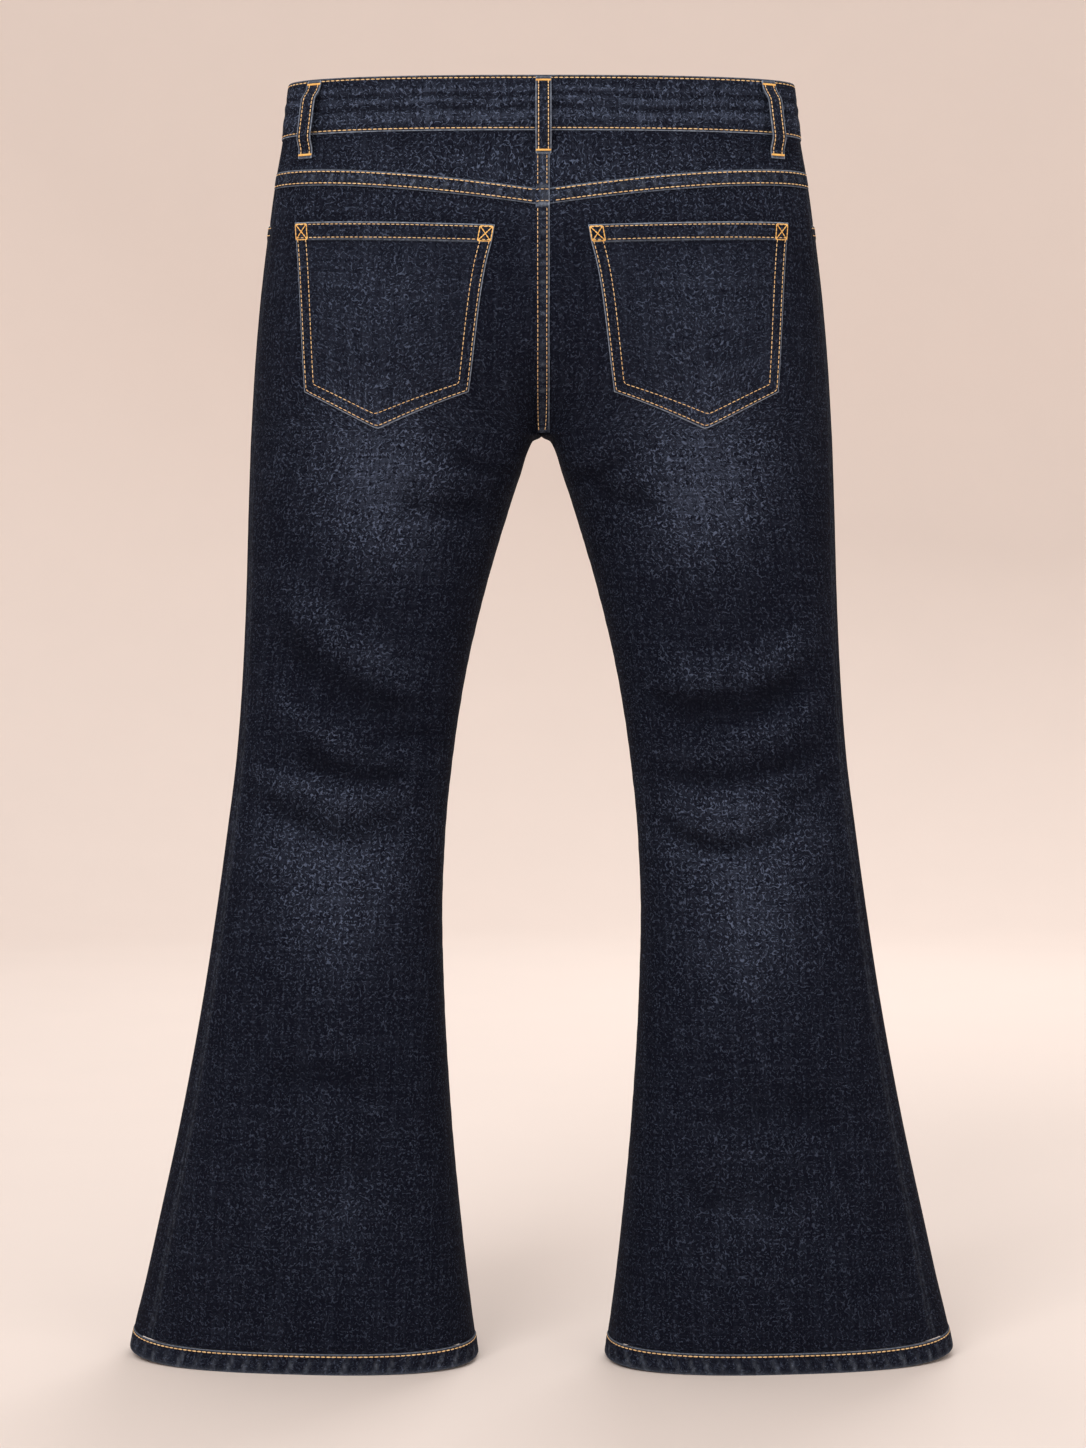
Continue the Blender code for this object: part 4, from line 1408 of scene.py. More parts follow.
@dataclass
class BackPocket(Sheet):
    """The patch pocket, with a doubled band along its top and a pointed foot."""

    inner_top: float = 36.5 * MM
    inner_corner: float = 57.5 * MM
    outer_top: float = 196.5 * MM
    outer_corner: float = 187.0 * MM
    point_drop: float = 0.030
    tilt: float = 0.003
    seat: float = 0.45 * MM
    usual: float = 0.145
    ends: Stops = Stops((0, 0.5, 1.1, 1.6, 2.2, 2.9, 4.3, 6.2, 8.2, 9.0, 9.6, 10.2, 11.4, 13.5))
    above: Stops = Stops(
        (0, 0.5, 1.1, 1.6, 2.1, 2.7, 5, 7.5, 10, 11.9, 12.6, 13.2, 13.9, 14.5, 15.1, 15.8, 17.4)
    )

    def levels(self) -> Array:
        """Rows from the foot's edge to the top edge."""
        return POCKET_CORNER + self.ends.spread(POCKET_TOP - POCKET_CORNER, self.above, self.pitch)

    def path(self, level: float, share: Array) -> Row:
        """A row between the pocket's two edges, bent to its point and its tilted top."""
        up = (level - POCKET_CORNER) / (POCKET_TOP - POCKET_CORNER)
        outer = self.outer_corner + (self.outer_top - self.outer_corner) * up
        inner = self.inner_corner + (self.inner_top - self.inner_corner) * up
        angle = FORM.angle_at(outer + (inner - outer) * share, np.full(share.shape, level), BACK)
        peak = 1 - np.sqrt((2 * share - 1) ** 2 + 0.0004)
        drop = self.point_drop * peak * max(0.0, 1 - up / 0.84)
        return float(self.side), level - drop + self.tilt * (1 - 2 * share) * up, angle

    def rim(self, edges: Edges) -> Array:
        """The distance from the sewn edges, in metres."""
        return np.minimum(np.minimum(edges.first, edges.last), edges.low)

    def relief(self, edges: Edges) -> Array:
        """The pocket's own thickness, its band, and the grooves and puckers of its stitches."""
        near = self.rim(edges)
        lift = self.seat + CLOTH - 0.5 * MM * fall(near, 0.6)
        lift = lift + PROUD * smooth_mm(15.4, 14.3, edges.high)
        lift = lift - 0.35 * MM * fall(edges.high, 0.6)
        body = smooth_mm(13, 16, edges.high)
        groove = (bump_at(near, 2.2, 0.6) + bump_at(near, 9.6, 0.6)) * body
        groove = groove + bump_at(edges.high, 2.1, 0.6) + bump_at(edges.high, 12.6, 0.6)
        puckers = ripple(edges.first + edges.up, 9, 0.8 * self.side) * bump_at(near, 5.8, 3.0)
        swell = 0.9 * MM * smooth_mm(10, 45, np.minimum(near, edges.high))
        return lift - 0.25 * MM * groove + 0.20 * MM * puckers + swell

    def wear(self, edges: Edges) -> Array:
        """Pale edges, most along the top."""
        beads = beaded(edges.first + edges.up, 9, 0.8 * self.side)
        rim = bump_at(self.rim(edges), 0.5, 0.4) * (0.60 + 0.35 * beads)
        top = bump_at(edges.high, 0.5, 0.5) * (0.70 + 0.30 * beads)
        ledge = bump_at(edges.high, 14.5, 0.5) * (0.15 + 0.25 * beads)
        return np.clip(rim + top + ledge, 0, 1)

    def hollow(self, edges: Edges) -> Array:
        """Painted shadow under the band."""
        return bump_at(edges.high, 16.3, 1.3)


@dataclass
class PocketFacing(Sheet):
    """The denim that shows inside the hand pocket's scoop."""

    usual: float = 0.17
    depth: float = 2.3 * MM
    foot: float = 0.900
    tuck: float = math.radians(2.0)
    reach: float = 0.8

    def levels(self) -> Array:
        """Rows from under the scoop to the waistband."""
        return self.foot + PLAIN.spread(WAIST_SEAM - 0.6 * MM - self.foot, PLAIN, 4.5 * MM)

    def angle(self, height: Array, share: Array) -> Array:
        """The angle at a share of the row, which reaches a part of the way to the middle."""
        start = FORM.outseam(height) + self.tuck
        return start + (FORM.end(height, FRONT)[0] - start) * self.reach * share

    def path(self, level: float, share: Array) -> Row:
        """A row from just behind the outseam to behind the front panel."""
        height = np.full(share.shape, level)
        return float(self.side), height, self.angle(height, share)

    def relief(self, edges: Edges) -> Array:
        """Sunk behind the front panel, and nearly flush above the scoop's edge."""
        height = edges.place[..., 2]
        above = height - FORM.front_top(self.angle(height, edges.share()))
        raised = smooth_mm(-2.0, 4, above + 6 * MM * smooth_mm(20, 4, edges.first))
        return -self.depth + (self.depth - 0.3 * MM) * raised


class BandCrease(NamedTuple):
    """A long crease round the waistband."""

    height: float
    reach: float
    lift: float
    pale: float
    phase: float

    def at(self, edges: Edges, period: float = 75) -> Array:
        """How strong the crease is, from 0 to about 1, fading in and out along the band.

        Args:
            edges: Distances over the band.
            period: How long its strong and weak parts are, in millimetres.

        Returns:
            Its strength at each point, on a line that sways a little up and down.
        """
        sway = 2.0 * MM * ripple(edges.along, 120, 0.5)
        part = 0.55 + 0.45 * ripple(edges.along, period, self.phase)
        return part * bump_at(edges.low - sway, self.height, self.reach)


@dataclass
class Waistband(Sheet):
    """The doubled band round the waist, its left end lapped over its right."""

    creases: tuple[BandCrease, ...] = (
        BandCrease(12.5, 4.4, 0.60, 1.75, 0.2),
        BandCrease(19.5, 2.6, -0.60, 0.0, 1.1),
        BandCrease(25.0, 2.7, 0.55, 1.50, 2.7),
        BandCrease(29.6, 2.0, -0.45, 0.0, 1.9),
        BandCrease(34.0, 2.4, 0.35, 1.10, 5.1),
    )
    over: float = 3.6
    under: float = 6.5
    usual: float = 0.93
    rows: Stops = Stops((0, 0.5, 1.1, 1.7, 2.2, 2.7, 3.4, 5))

    def degrees(self, share: Array) -> Array:
        """Degrees round the waist from the middle of the front, at shares of the band's length."""
        return -self.over + (360 + self.under + self.over) * share

    def levels(self) -> Array:
        """Rows from the seam to the top edge."""
        return WAIST_SEAM + self.rows.spread(WAIST_TOP - WAIST_SEAM, self.rows, 1.7 * MM)

    def path(self, level: float, share: Array) -> Row:
        """A row from the over end at the front, round the back, to the end under it."""
        degrees = self.degrees(share) % 360
        left = degrees < 180
        angle = np.radians(np.where(left, degrees - 90, 270 - degrees))
        return np.where(left, -1.0, 1.0), np.full(share.shape, level), angle

    def laid(self, side: Any, height: Array, angle: Array) -> tuple[Array, Array]:
        """The bare form, with level normals."""
        return FORM.level(side, height, angle)

    def relief(self, edges: Edges) -> Array:
        """Proud of the panels, sunk at the under end, with the stitches' grooves and soft creases."""
        sunk = smooth(340, 357 - self.over, self.degrees(edges.around())) * (DOUBLED + 0.3 * MM)
        near = np.minimum(edges.low, edges.high)
        lift = PROUD - sunk - 0.45 * MM * fall(near, 0.6)
        groove = bump_at(edges.low, 2.2, 0.6) + bump_at(edges.high, 2.2, 0.6)
        lift = lift - 0.28 * MM * groove
        for crease in self.creases:
            lift = lift + crease.lift * MM * crease.at(edges)
        puckers = ripple(edges.along, 10, 0.3) * bump_at(near, 5, 4)
        return lift + 0.20 * MM * puckers

    def wear(self, edges: Edges) -> Array:
        """Pale lower and upper edges."""
        beads = beaded(edges.along, 10, 0.3)
        low = bump_at(edges.low, 0.5, 0.4) * (0.55 + 0.35 * beads)
        high = bump_at(edges.high, 0.5, 0.4) * (0.15 + 0.35 * beads)
        return np.clip(low + high + 0.6 * bump_at(edges.first, 0.8, 0.7), 0, 1)

    def fade(self, edges: Edges) -> Array:
        """Soft pale bands along the raised creases, broken up: partly fading, partly a painted highlight."""
        pale = sum(crease.pale * crease.at(edges, 34) for crease in self.creases)
        columns = beaded(edges.along, 9.5, 4.0) ** 2
        return np.clip(0.12 + pale * (0.5 + 1.0 * columns), 0, 1)

    def hollow(self, edges: Edges) -> Array:
        """Painted shade along the creases that sink."""
        return np.clip(0.8 * sum(crease.at(edges) for crease in self.creases if crease.lift < 0), 0, 1)


@dataclass
class Hem(Sheet):
    """The turned-up end of a leg."""

    usual: float = 0.66
    rows: Stops = Stops((0, 0.5, 1.2, 2.2))
    upper: Stops = Stops((0, 0.5, 1.1, 1.8, 2.4, 3.0, 3.8))
    ropes: int = 53

    def levels(self) -> Array:
        """Rows from the floor to the hem's upper edge."""
        return self.rows.spread(HEM_TOP, self.upper, 1.6 * MM)

    def path(self, level: float, share: Array) -> Row:
        """A row all round the leg from the inseam."""
        return float(self.side), np.full(share.shape, level), np.pi * (1 - 2 * share)

    def laid(self, side: Any, height: Array, angle: Array) -> tuple[Array, Array]:
        """The bare form, with level normals."""
        return FORM.level(side, height, angle)

    def roping(self, edges: Edges, turn: Array, slant: float = 1.0) -> Array:
        """The slanting waves of a roped hem, between -1 and 1, at turns round the leg."""
        return np.sin(turn * self.ropes + 0.9 * np.sin(turn * 7) + slant * edges.low / (4 * MM))

    def relief(self, edges: Edges) -> Array:
        """Proud of the panels, rounded at both edges, and roped by its seam."""
        turn = 2 * np.pi * edges.around()
        rope = self.roping(edges, turn, 0.0) * 0.6 + 0.4 * np.sin(turn * 31 + 1.0)
        lift = PROUD - (0.7 * fall(edges.low, 0.9) + 0.5 * fall(edges.high, 0.5)) * MM
        lift = lift - 0.28 * MM * bump_at(edges.high, 2.4, 0.7)
        return lift + 0.14 * MM * (rope + self.roping(edges, turn)) * bump_at(edges.low, 7, 5)

    def wear(self, edges: Edges) -> Array:
        """A pale fold edge and roping blotches."""
        turn = 2 * np.pi * edges.around()
        slant = 0.5 + 0.5 * self.roping(edges, turn)
        fold = bump_at(edges.high, 0.5, 0.5) * 0.42
        uneven = 0.5 + 0.5 * np.sin(turn * 17 + 1.3 * np.sin(turn * 5))
        rope = slant**9 * (0.35 + 0.65 * uneven) * bump_at(edges.low, 6, 6) * 0.22
        return np.clip(fold + fall(edges.low, 1.0) * 0.30 + rope, 0, 1)


@dataclass
class BeltLoop(Sheet):
    """A strap tacked over the waistband's top edge and below its seam."""

    face: Face = BACK
    across: float = 0.0
    width: float = 13 * MM
    foot: float = 0.9755
    head: float = 1.0385
    standoff: float = 7.0 * MM
    tacked: float = 7 * MM
    sink: float = 0.4 * MM
    strap: float = 1.8 * MM
    ends: Stops = Stops((0, 0.5, 1.1, 1.8, 2.6, 3.4, 4.4))

    def profile(self) -> tuple[Array, Array]:
        """Places up the strap and how far its inner face stands off the form, in metres."""
        length, seat = self.head - self.foot, self.sink
        knots = (
            (0.0, seat),
            (self.tacked, seat + 0.2 * MM),
            (self.tacked + 9 * MM, self.standoff),
            (length / 2, self.standoff + 0.3 * MM),
            (length - self.tacked - 8 * MM, self.standoff + PROUD),
            (length - self.tacked, seat + PROUD + 0.3 * MM),
            (length, seat + PROUD),
        )
        up = np.linspace(0.0, length, 64)
        off = np.interp(up, *np.array(knots).T)
        for _ in range(6):
            off[1:-1] = (off[:-2] + 2 * off[1:-1] + off[2:]) / 4
        return up, off

    def build(self) -> "BeltLoop":
        """Makes the strap along its profile.

        Returns:
            The loop itself.
        """
        angle = FORM.angle_at(self.across, np.array(WAIST_SEAM), self.face)
        top, low = (FORM.level(float(self.side), height, angle)[0] for height in (self.head, self.foot))
        out = FORM.level(float(self.side), WAIST_SEAM, angle)[1]
        along = np.array([-out[1], out[0], 0.0])
        up, off = self.profile()
        length = self.head - self.foot
        base = low + (top - low) * (up / length)[:, None] + out * (off + self.strap)[:, None]
        base[:, 2] = self.foot + up
        columns = self.ends.spread(self.width, self.ends, 1.2 * MM)
        steps = columns - self.width / 2
        end = np.minimum(up, length - up)[:, None]
        near = np.minimum(columns, self.width - columns)[None, :]
        base = base[:, None, :] + along * (steps * (1 - 0.06 * fall(end, 1.2)))[..., None]
        arc = np.broadcast_to(up[:, None], base.shape[:2])
        wave = ripple(arc, 9, 3.0 * self.across / 0.1 + self.side)
        lift = -0.35 * fall(near, 0.6) - 0.22 * bump_at(near, 2.6, 0.6) - 0.3 * fall(end, 0.6)
        lift = (lift + 0.15 * wave * bump_at(near, 1.5, 2)) * MM
        rough = np.broadcast_to(out, base.shape)
        self.points = base + rough * lift[..., None]
        self.normals = self.true_normals(rough)
        self.flat = np.stack(np.broadcast_arrays(steps[None, :], arc), -1) + self.pattern_place()
        worn = bump_at(near, 0.5, 0.45) * (0.75 + 0.15 * wave) + 0.5 * fall(end, 1.2)
        plain = np.zeros(arc.shape)
        values = {"fade": plain + 0.12, "crest": plain, "shade": plain, "wear": np.clip(worn, 0, 1)}
        self.piece = self.shell(values, rough)
        return self


@dataclass
class SeatSeam(Sheet):
    """The felled band down the middle of the back: the left side lapped over the right."""

    reach_left: float = 4.6 * MM
    reach_right: float = 6.6 * MM
    foot: float = 0.7572
    ends: Stops = Stops((0, 0.5, 1.1, 1.7, 2.3, 2.9, 4.0))

    def levels(self) -> Array:
        """Rows from the crotch to the waistband."""
        return self.foot + PLAIN.spread(WAIST_SEAM - self.foot, PLAIN, 2.4 * MM)

    def path(self, level: float, share: Array) -> Row:
        """A short row across the middle plane."""
        across = -self.reach_left + (self.reach_left + self.reach_right) * share
        height = np.full(share.shape, level)
        return np.where(across < 0, -1.0, 1.0), height, FORM.angle_at(np.abs(across), height, BACK)

    def laid(self, side: Any, height: Array, angle: Array) -> tuple[Array, Array]:
        """The form, bridged from side to side where it dips between the legs."""
        base, normal = FORM.folded(side, height, angle)
        share = (base[..., 0] - base[:, :1, 0]) / (base[:, -1:, 0] - base[:, :1, 0])
        share = share[..., None]
        bridge = base[:, :1] * (1 - share) + base[:, -1:] * share
        facing = unit(normal[:, :1] + normal[:, -1:])
        dip = smooth(0.86, 0.80, height)[..., None]
        base = base * (1 - dip) + bridge * dip
        return base, unit(normal * (1 - dip) + facing * dip)

    def column_stops(self, length: float) -> Array:
        """Columns at the stitches' distances, stretched to the row."""
        width = self.reach_left + self.reach_right
        return self.ends.spread(width, self.ends, 1.0 * MM) * length / width

    def relief(self, edges: Edges) -> Array:
        """Flush on the left, a ledge on the right, over the yoke's band where they cross."""
        rise = 1.35 * MM * smooth(0.0, 0.28, edges.share()) - 0.45 * MM * fall(edges.last, 0.5)
        groove = bump_at(edges.first, 1.7, 0.5) + bump_at(edges.last, 2.3, 0.5)
        roping = ripple(edges.up, 8, 0.2) * bump_at(edges.first, 5.6, 3)
        up = edges.place[..., 2] - YOKE_LOW
        step = 0.9 * MM * smooth_mm(-0.6, 0.4, up) * smooth_mm(15, 13.5, up)
        return 0.25 * MM + rise + step - 0.25 * MM * groove + 0.20 * MM * roping

    def wear(self, edges: Edges) -> Array:
        """A pale ledge on the right and beads between the rows."""
        beads = beaded(edges.up, 8, 0.2)
        ledge = bump_at(edges.last, 0.5, 0.42) * (0.35 + 0.40 * beads)
        middle = bump_at(edges.first, 5.6, 2.4) * beads**3 * 0.20
        up = edges.place[..., 2] - YOKE_LOW
        band = smooth_mm(-0.6, 0.6, up) * smooth_mm(14.6, 13.4, up)
        block = band * smooth_mm(2.5, 4.0, edges.first) * (0.02 + 0.12 * beads)
        rims = (bump_at(up, 13.6, 0.7) + bump_at(up, 0.2, 0.7)) * 0.4
        return np.clip(ledge + middle * (1 - band) + block + rims, 0, 1)


@dataclass
class FlyStrip(Sheet):
    """A strip behind the fly that crosses the middle plane."""

    reach: float = 15 * MM
    foot: float = FLY_FOOT - 1 * MM
    depth: float = 1.9 * MM

    def levels(self) -> Array:
        """Rows from the fly's foot to the waistband."""
        return self.foot + PLAIN.spread(WAIST_SEAM - 0.6 * MM - self.foot, PLAIN, 4 * MM)

    def path(self, level: float, share: Array) -> Row:
        """A short row across the middle plane."""
        across = self.reach * (2 * share - 1)
        side = np.where(across < 0, -1.0, 1.0)
        height = np.full(share.shape, level)
        return side, height, FORM.angle_at(np.abs(across), height, FRONT)

    def column_stops(self, length: float) -> Array:
        """Even columns."""
        return np.linspace(0.0, length, 13)

    def laid(self, side: Any, height: Array, angle: Array) -> tuple[Array, Array]:
        """The bare form."""
        return FORM.bare(side, height, angle), FORM.normal(side, height, angle)

    def relief(self, edges: Edges) -> Array:
        """Sunk behind the fronts."""
        return np.full(edges.first.shape, -self.depth)


@dataclass
class Leg:
    """One side's cloth: back, front, yoke, pockets and hem, with their rows of thread."""

    wardrobe: Wardrobe
    side: Side

    def build(self) -> Sheet:
        """Builds and sews every piece of the side.

        Returns:
            The front panel, which the fly is sewn on.
        """
        word = self.side.word
        shared: dict[str, Any] = {"wardrobe": self.wardrobe, "side": self.side}
        LegPanel(name=f"{word}_back", replaced=(f"{word}_back_panel",), **shared).build()
        front = LegPanel(
            name=f"{word}_front",
            replaced=(f"{word}_front_panel",),
            face=FRONT,
            top=WAIST_SEAM - 0.3 * MM,
            shear_from=0.875,
            **shared,
        ).build()
        yoke = Yoke(name=f"{word}_back_yoke", replaced=(f"{word}_yoke",), pitch=3.0 * MM, **shared).build()
        pocket = BackPocket(
            name=f"{word}_patch_pocket",
            replaced=(f"{word}_back_pocket",),
            slot="doubled_denim",
            held=Hold.LAID,
            pitch=2.8 * MM,
            rests_on=(f"{word}_back",),
            **shared,
        ).build()
        PocketFacing(
            name=f"{word}_facing", replaced=(f"{word}_pocket_facing",), pitch=5 * MM, held=Hold.LAID, **shared
        ).build()
        hem = Hem(
            name=f"{word}_turned_hem",
            replaced=(f"{word}_hem",),
            slot="doubled_denim",
            held=Hold.FOLDED,
            thickness=DOUBLED,
            pitch=2.4 * MM,
            ring=True,
            dense=721,
            **shared,
        ).build()
        self.sew_yoke(yoke)
        self.sew_pocket(pocket)
        self.cross_tacks(pocket)
        self.sew_front(front)
        rows = self.stitching("hem_stitching", pitch=4.3 * MM, filled=0.92, width=1.15 * MM)
        rows.sewn([hem.row_line(-5)])
        LOG.info("%s leg built", word)
        return front

    def stitching(self, name: str, **sizes: float) -> Stitching:
        """An empty piece of thread for this side, with its own sizes."""
        return Stitching(f"{self.side.word}_{name}", self.wardrobe.thread, **sizes)

    def sew_front(self, front: Sheet) -> None:
        """Sews the two rows along the hand pocket's scoop.

        Args:
            front: The front panel.
        """
        scoop = front.points[-1, :, 2] < WAIST_SEAM - 3 * MM
        edge = Line(front.points[-1][scoop], front.normals[-1][scoop])
        edge = edge.at(np.linspace(0.0, edge.length(), 90))
        inwards = unit(np.cross(edge.normals, np.gradient(edge.points, axis=0)))
        inwards = inwards * np.sign(-inwards[:, 2:])
        rows = self.stitching("scoop_stitching", pitch=3.9 * MM)
        rows.sewn(front.project(edge.points + inwards * away) for away in (2.2 * MM, 8.2 * MM))

    def sew_yoke(self, yoke: Sheet) -> None:
        """Sews the two rows of the yoke's band, which stop short of the seat seam.

        Args:
            yoke: The yoke.
        """
        stop = 4.2 * MM if self.side == LEFT else 7.4 * MM
        clear = (np.abs(yoke.points[..., 0]) > stop).sum(1)
        self.stitching("yoke_stitching").sewn(yoke.row_line(row, 0, clear[row]) for row in (4, 10))

    def sew_pocket(self, pocket: Sheet) -> None:
        """Sews the two rows round the back pocket and the two along its band.

        Args:
            pocket: The back pocket.
        """
        rows = self.stitching("pocket_stitching", pitch=3.9 * MM, filled=0.80, width=0.74 * MM)
        top = len(pocket.points) - 11  # the row of the band's lower stitches
        for step in (4, 10):
            down = pocket.column_line(step, step, top).turned()
            foot = pocket.row_line(step, step, -step)
            up = pocket.column_line(-1 - step, step, top)
            rows.sew(down.then(foot).then(up))
        rows.sewn(pocket.row_line(row, 2, -2) for row in (-5, -11))

    def cross_tacks(self, pocket: Sheet) -> None:
        """Sews the boxed cross at each top corner of the back pocket.

        Args:
            pocket: The back pocket.
        """
        name = f"{self.side.word}_pocket_tacks"
        tacks = Stitching(name, self.wardrobe.tack, pitch=3.0 * MM, filled=1.12, width=1.05 * MM)
        low, high = len(pocket.points) - 13, len(pocket.points) - 4  # the band's rows
        for inner, outer in ((2, 12), (-3, -13)):
            box = ((low, inner), (low, outer), (high, outer), (high, inner))
            corners = [pocket.points[place] for place in box]
            for a, b in ((0, 1), (1, 2), (2, 3), (3, 0), (0, 2), (1, 3)):
                tacks.sew(pocket.project(np.linspace(corners[a], corners[b], 9)))
        tacks.finish()


@dataclass
class WaistBuild:
    """The waistband, its loops and button, the seat seam and the fly."""

    wardrobe: Wardrobe
    left_front: Sheet
    lap_rise: float = 0.4 * MM

    def build(self) -> None:
        """Builds and sews the waist's pieces."""
        shared: dict[str, Any] = {"wardrobe": self.wardrobe, "slot": "doubled_denim"}
        band = Waistband(
            name="waist_band",
            replaced=("waistband",),
            thickness=DOUBLED,
            held=Hold.FOLDED,
            dense=1441,
            pitch=2.6 * MM,
            **shared,
        ).build()
        rows = Stitching("waistband_stitching", self.wardrobe.thread)
        for row in (4, -5):
            rows.sew(band.row_line(row), 1.5 * MM)
        rows.sewn([band.column_line(2, 4, -4)], 1.0 * MM)
        self.sew_seat(SeatSeam(name="seat_seam", held=Hold.LAID, thickness=0.9 * MM, **shared).build())
        self.loops()
        self.fly()

    def sew_seat(self, seam: Sheet) -> None:
        """Sews the seat seam above and below the yoke's band, and the band's end over it.

        Args:
            seam: The seat seam.
        """
        heights = seam.points[:, 0, 2]
        thread = self.wardrobe.thread
        rows = Stitching("seat_seam_stitching", thread, pitch=3.7 * MM, filled=0.80, width=0.70 * MM)
        low, high = (int(np.searchsorted(heights, YOKE_LOW + above * MM)) for above in (-1, 15))
        for column in (3, -5):
            rows.sew(seam.column_line(column, 1, low))
            rows.sew(seam.column_line(column, high))
        across = np.searchsorted(heights, YOKE_LOW + np.array([2.3, 11.6]) * MM - self.lap_rise)
        rows.sewn(seam.row_line(row, 0, -1) for row in across)

    def loops(self) -> None:
        """Builds and sews the five belt loops."""
        rows = Stitching("loop_stitching", self.wardrobe.thread, pitch=3.4 * MM, filled=0.88)
        tacks = Stitching("loop_tacks", self.wardrobe.tack)
        for name, side, face, across in LOOPS:
            loop = BeltLoop(
                self.wardrobe,
                name=f"{name}_strap",
                side=side,
                face=face,
                across=across * MM,
                replaced=(name,),
                slot="doubled_denim",
                thickness=1.8 * MM,
                held=Hold.FOLDED,
            ).build()
            for column in (4, -5):
                rows.sew(loop.column_line(column, 3, -3))
            for row in (3, -4):
                tacks.tack(loop.row_line(row, 1, -1), 0.95 * MM)
        rows.finish()
        tacks.finish()

    def fly(self) -> None:
        """Sews the fly, and builds the zip, the button and the strips behind the fly."""
        self.sew_fly()
        self.zip_teeth()
        self.button()
        self.buttonhole()
        shared: dict[str, Any] = {"wardrobe": self.wardrobe, "held": Hold.LAID}
        FlyStrip(
            name="zip_tapes", replaced=("fly_zip",), slot="zip_tape", thickness=1.0 * MM, **shared
        ).build()
        FlyStrip(
            name="shield",
            replaced=("fly_shield",),
            reach=24 * MM,
            foot=FLY_FOOT - 14 * MM,
            depth=3.9 * MM,
            **shared,
        ).build()

    def sew_fly(self) -> None:
        """Sews the fly's curved rows on the left front, and the seam below the fly."""
        front = self.left_front
        rows = Stitching("fly_stitching", self.wardrobe.thread, pitch=3.9 * MM)
        turn = np.linspace(0.0, math.pi / 2, 40)
        for across, foot in ((35 * MM, FLY_FOOT), (29 * MM, FLY_FOOT + 6 * MM)):
            bend = foot + 34 * MM
            x = np.concatenate([np.full(60, across), 2 * MM + (across - 2 * MM) * np.cos(turn)])
            straight = np.linspace(WAIST_SEAM - 3 * MM, bend, 60)
            z = np.concatenate([straight, bend - 34 * MM * np.sin(turn)])
            rows.sew(front.project(FORM.bare(-1.0, z, FORM.angle_at(x, z, FRONT))))
        start, end = np.searchsorted(front.points[:, -1, 2], (SADDLE + 4 * MM, FLY_FOOT - 1 * MM))
        rows.sewn(front.column_line(column, start, end) for column in (-3, -5))
        tack = Stitching("fly_tack", self.wardrobe.tack)
        z = np.linspace(FLY_FOOT + 1 * MM, FLY_FOOT + 10 * MM, 12)
        tack.tack(front.project(FORM.bare(-1.0, z, FORM.angle_at(np.full(12, 3 * MM), z, FRONT))), 1.6 * MM)
        tack.finish()

    def zip_teeth(self) -> None:
        """Makes the zip's two rows of teeth, its slider and its pull."""
        heights = np.arange(FLY_FOOT + 4 * MM, WAIST_SEAM - 9 * MM, 2.4 * MM)
        places = []
        for side in (-1, 1):
            z = heights + side * 0.6 * MM
            angle = FORM.angle_at(np.full(z.shape, 0.4 * MM), z, FRONT)
            normal = FORM.normal(1.0, z, angle)
            middle = FORM.bare(1.0, z, angle) - normal * 3.2 * MM + np.array([side * 1.3 * MM, 0.0, 0.0])
            wide = np.broadcast_to(np.array([3.0 * MM, 0.0, 0.0]), middle.shape)
            up = unit(np.cross(normal, wide)) * 1.1 * MM
            places.append(np.stack([wide, normal * 0.7 * MM, up, middle], axis=1))
        slider = places[0][-1:] * np.array([2.4, 1.0, 7.0, 1.0])[:, None]
        slider[0, 3] += np.array([1.3 * MM, 0.0, 5 * MM])
        maker = bmesh.new()
        bmesh.ops.create_cube(maker, size=1.0)
        mesh = repeated("zip_teeth", maker, np.concatenate([*places, slider]))
        mesh.materials.append(self.wardrobe.brass)
        piece = placed("zip_teeth", mesh)
        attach(piece, ROOT)
        LOG.info("zip_teeth: two rows of %d", len(heights))

    def button(self) -> None:
        """Turns the waist button."""
        base = FORM.bare(-1.0, BUTTON, -math.pi / 2)
        out = unit(FORM.normal(-1.0, BUTTON, -math.pi / 2) * np.array([1.0, 1.0, 0.0]))
        maker = spun([(radius * MM, height * MM) for radius, height in SHANK_BUTTON], 40, 0.01 * MM)
        place = Matrix.Translation(Vector(base + out * (PROUD + 0.1 * MM)))
        turn = Vector(out).to_track_quat("Z", "Y").to_matrix().to_4x4()
        bmesh.ops.transform(maker, matrix=place @ turn, verts=maker.verts)
        mesh = finished_mesh("shank_button", maker)
        mesh.shade_smooth()
        mesh.materials.append(self.wardrobe.brass)
        piece = placed("shank_button", mesh)
        bevel = piece.modifiers.new("edge", "BEVEL")
        bevel.width = 0.2 * MM
        bevel.segments = 2
        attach(piece, ROOT)
        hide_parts("waist_button")
        LOG.info("shank_button: %.1f mm across", 2 * max(SHANK_BUTTON)[0])

    def buttonhole(self) -> None:
        """Works the buttonhole round a long oval beside the button."""
        hole = Stitching("buttonhole", self.wardrobe.thread)
        turn = np.linspace(0.0, 2 * math.pi, 80)
        x = np.clip(14.4 * MM * np.cos(turn), -9 * MM, 9 * MM) + 1.6 * MM * np.cos(turn) - 5 * MM
        z = BUTTON + 2.4 * MM * np.sin(turn)
        side = np.where(x < 0, -1.0, 1.0)
        spots, normals = FORM.level(side, z, FORM.angle_at(np.abs(x), z, FRONT))
        hole.tack(Line(spots + normals * (PROUD + 0.05 * MM), normals), 0.8 * MM, 0.7 * MM)
        hole.finish()


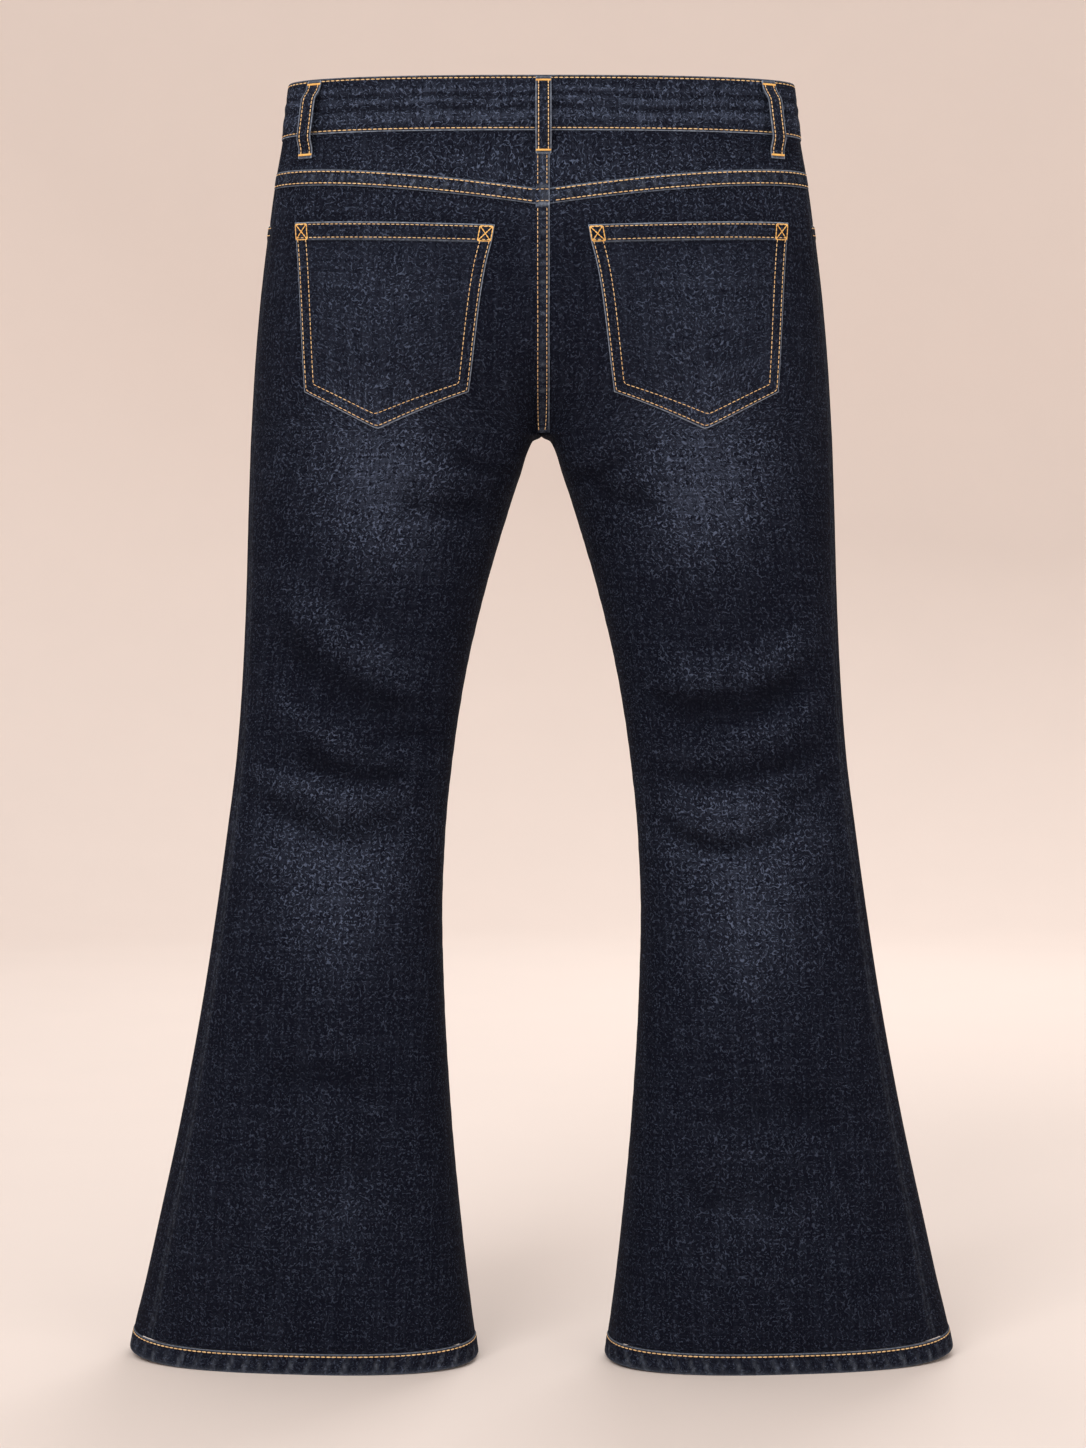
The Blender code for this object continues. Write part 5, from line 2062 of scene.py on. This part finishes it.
@dataclass
class Studio:
    """The floor and its rounded wall, the lights and the camera."""

    floor: Colour = (0.80, 0.71, 0.66)
    air: Colour = (0.92, 0.88, 0.85)
    glow: float = 0.86
    radius: float = 4.4
    corner: float = 1.2
    wall: float = 2.6
    focal: float = 72.8
    eye: tuple[float, float, float] = (0.0012, 0.0103 - 2.4, 0.610)
    dip: float = math.radians(2.13)

    def build(self) -> None:
        """Builds the studio."""
        turns = [math.pi / 2 * step / 12 for step in range(13)]
        start = self.radius - self.corner
        bend = [(start + self.corner * math.sin(t), self.corner * (1 - math.cos(t))) for t in turns]
        maker = spun([(0.0, 0.0), *bend, (self.radius, self.wall)], 96, 0.1 * MM)
        bmesh.ops.reverse_faces(maker, faces=maker.faces)
        mesh = finished_mesh("studio_floor", maker)
        mesh.shade_smooth()
        shade = tuple(0.97 * part for part in self.floor)
        finish = PlainFinish("pale_plaster", self.floor, shade, 0.9, scale=6.0, relief=0.2 * MM)
        mesh.materials.append(finish.material())
        placed("studio_floor", mesh)
        for name, place, aim, size, power, colour in LIGHTS:
            lamp = bpy.data.lights.new(name, "AREA")
            lamp.shape = "SQUARE"
            lamp.size = size
            lamp.energy = power
            lamp.color = colour
            holder = placed(name, lamp)
            holder.location = place
            holder.rotation_euler = (Vector(aim) - Vector(place)).to_track_quat("-Z", "Y").to_euler()
        world = bpy.data.worlds.new("studio_air")
        world.use_nodes = True
        background = world.node_tree.nodes["Background"]
        background.inputs["Color"].default_value = (*self.air, 1.0)
        background.inputs["Strength"].default_value = self.glow
        bpy.context.scene.world = world
        bpy.context.scene.view_settings.view_transform = "Standard"

    def camera(self) -> None:
        """Sets the camera level with the knees, square to the back."""
        lens = bpy.data.cameras.new("camera")
        lens.lens = self.focal
        lens.sensor_width = 36.0
        lens.clip_start = 0.05
        holder = placed("camera", lens)
        holder.location = self.eye
        holder.rotation_euler = (math.pi / 2 - self.dip, 0.0, 0.0)
        bpy.context.scene.camera = holder


def main() -> None:
    """Builds the jeans and the studio in order."""
    logging.basicConfig(level=logging.INFO, format="%(message)s")
    wardrobe = Wardrobe.stocked()
    fronts = {side: Leg(wardrobe, side).build() for side in Side}
    WaistBuild(wardrobe, fronts[LEFT]).build()
    studio = Studio()
    studio.build()
    studio.camera()


if __name__ == "__main__":
    main()
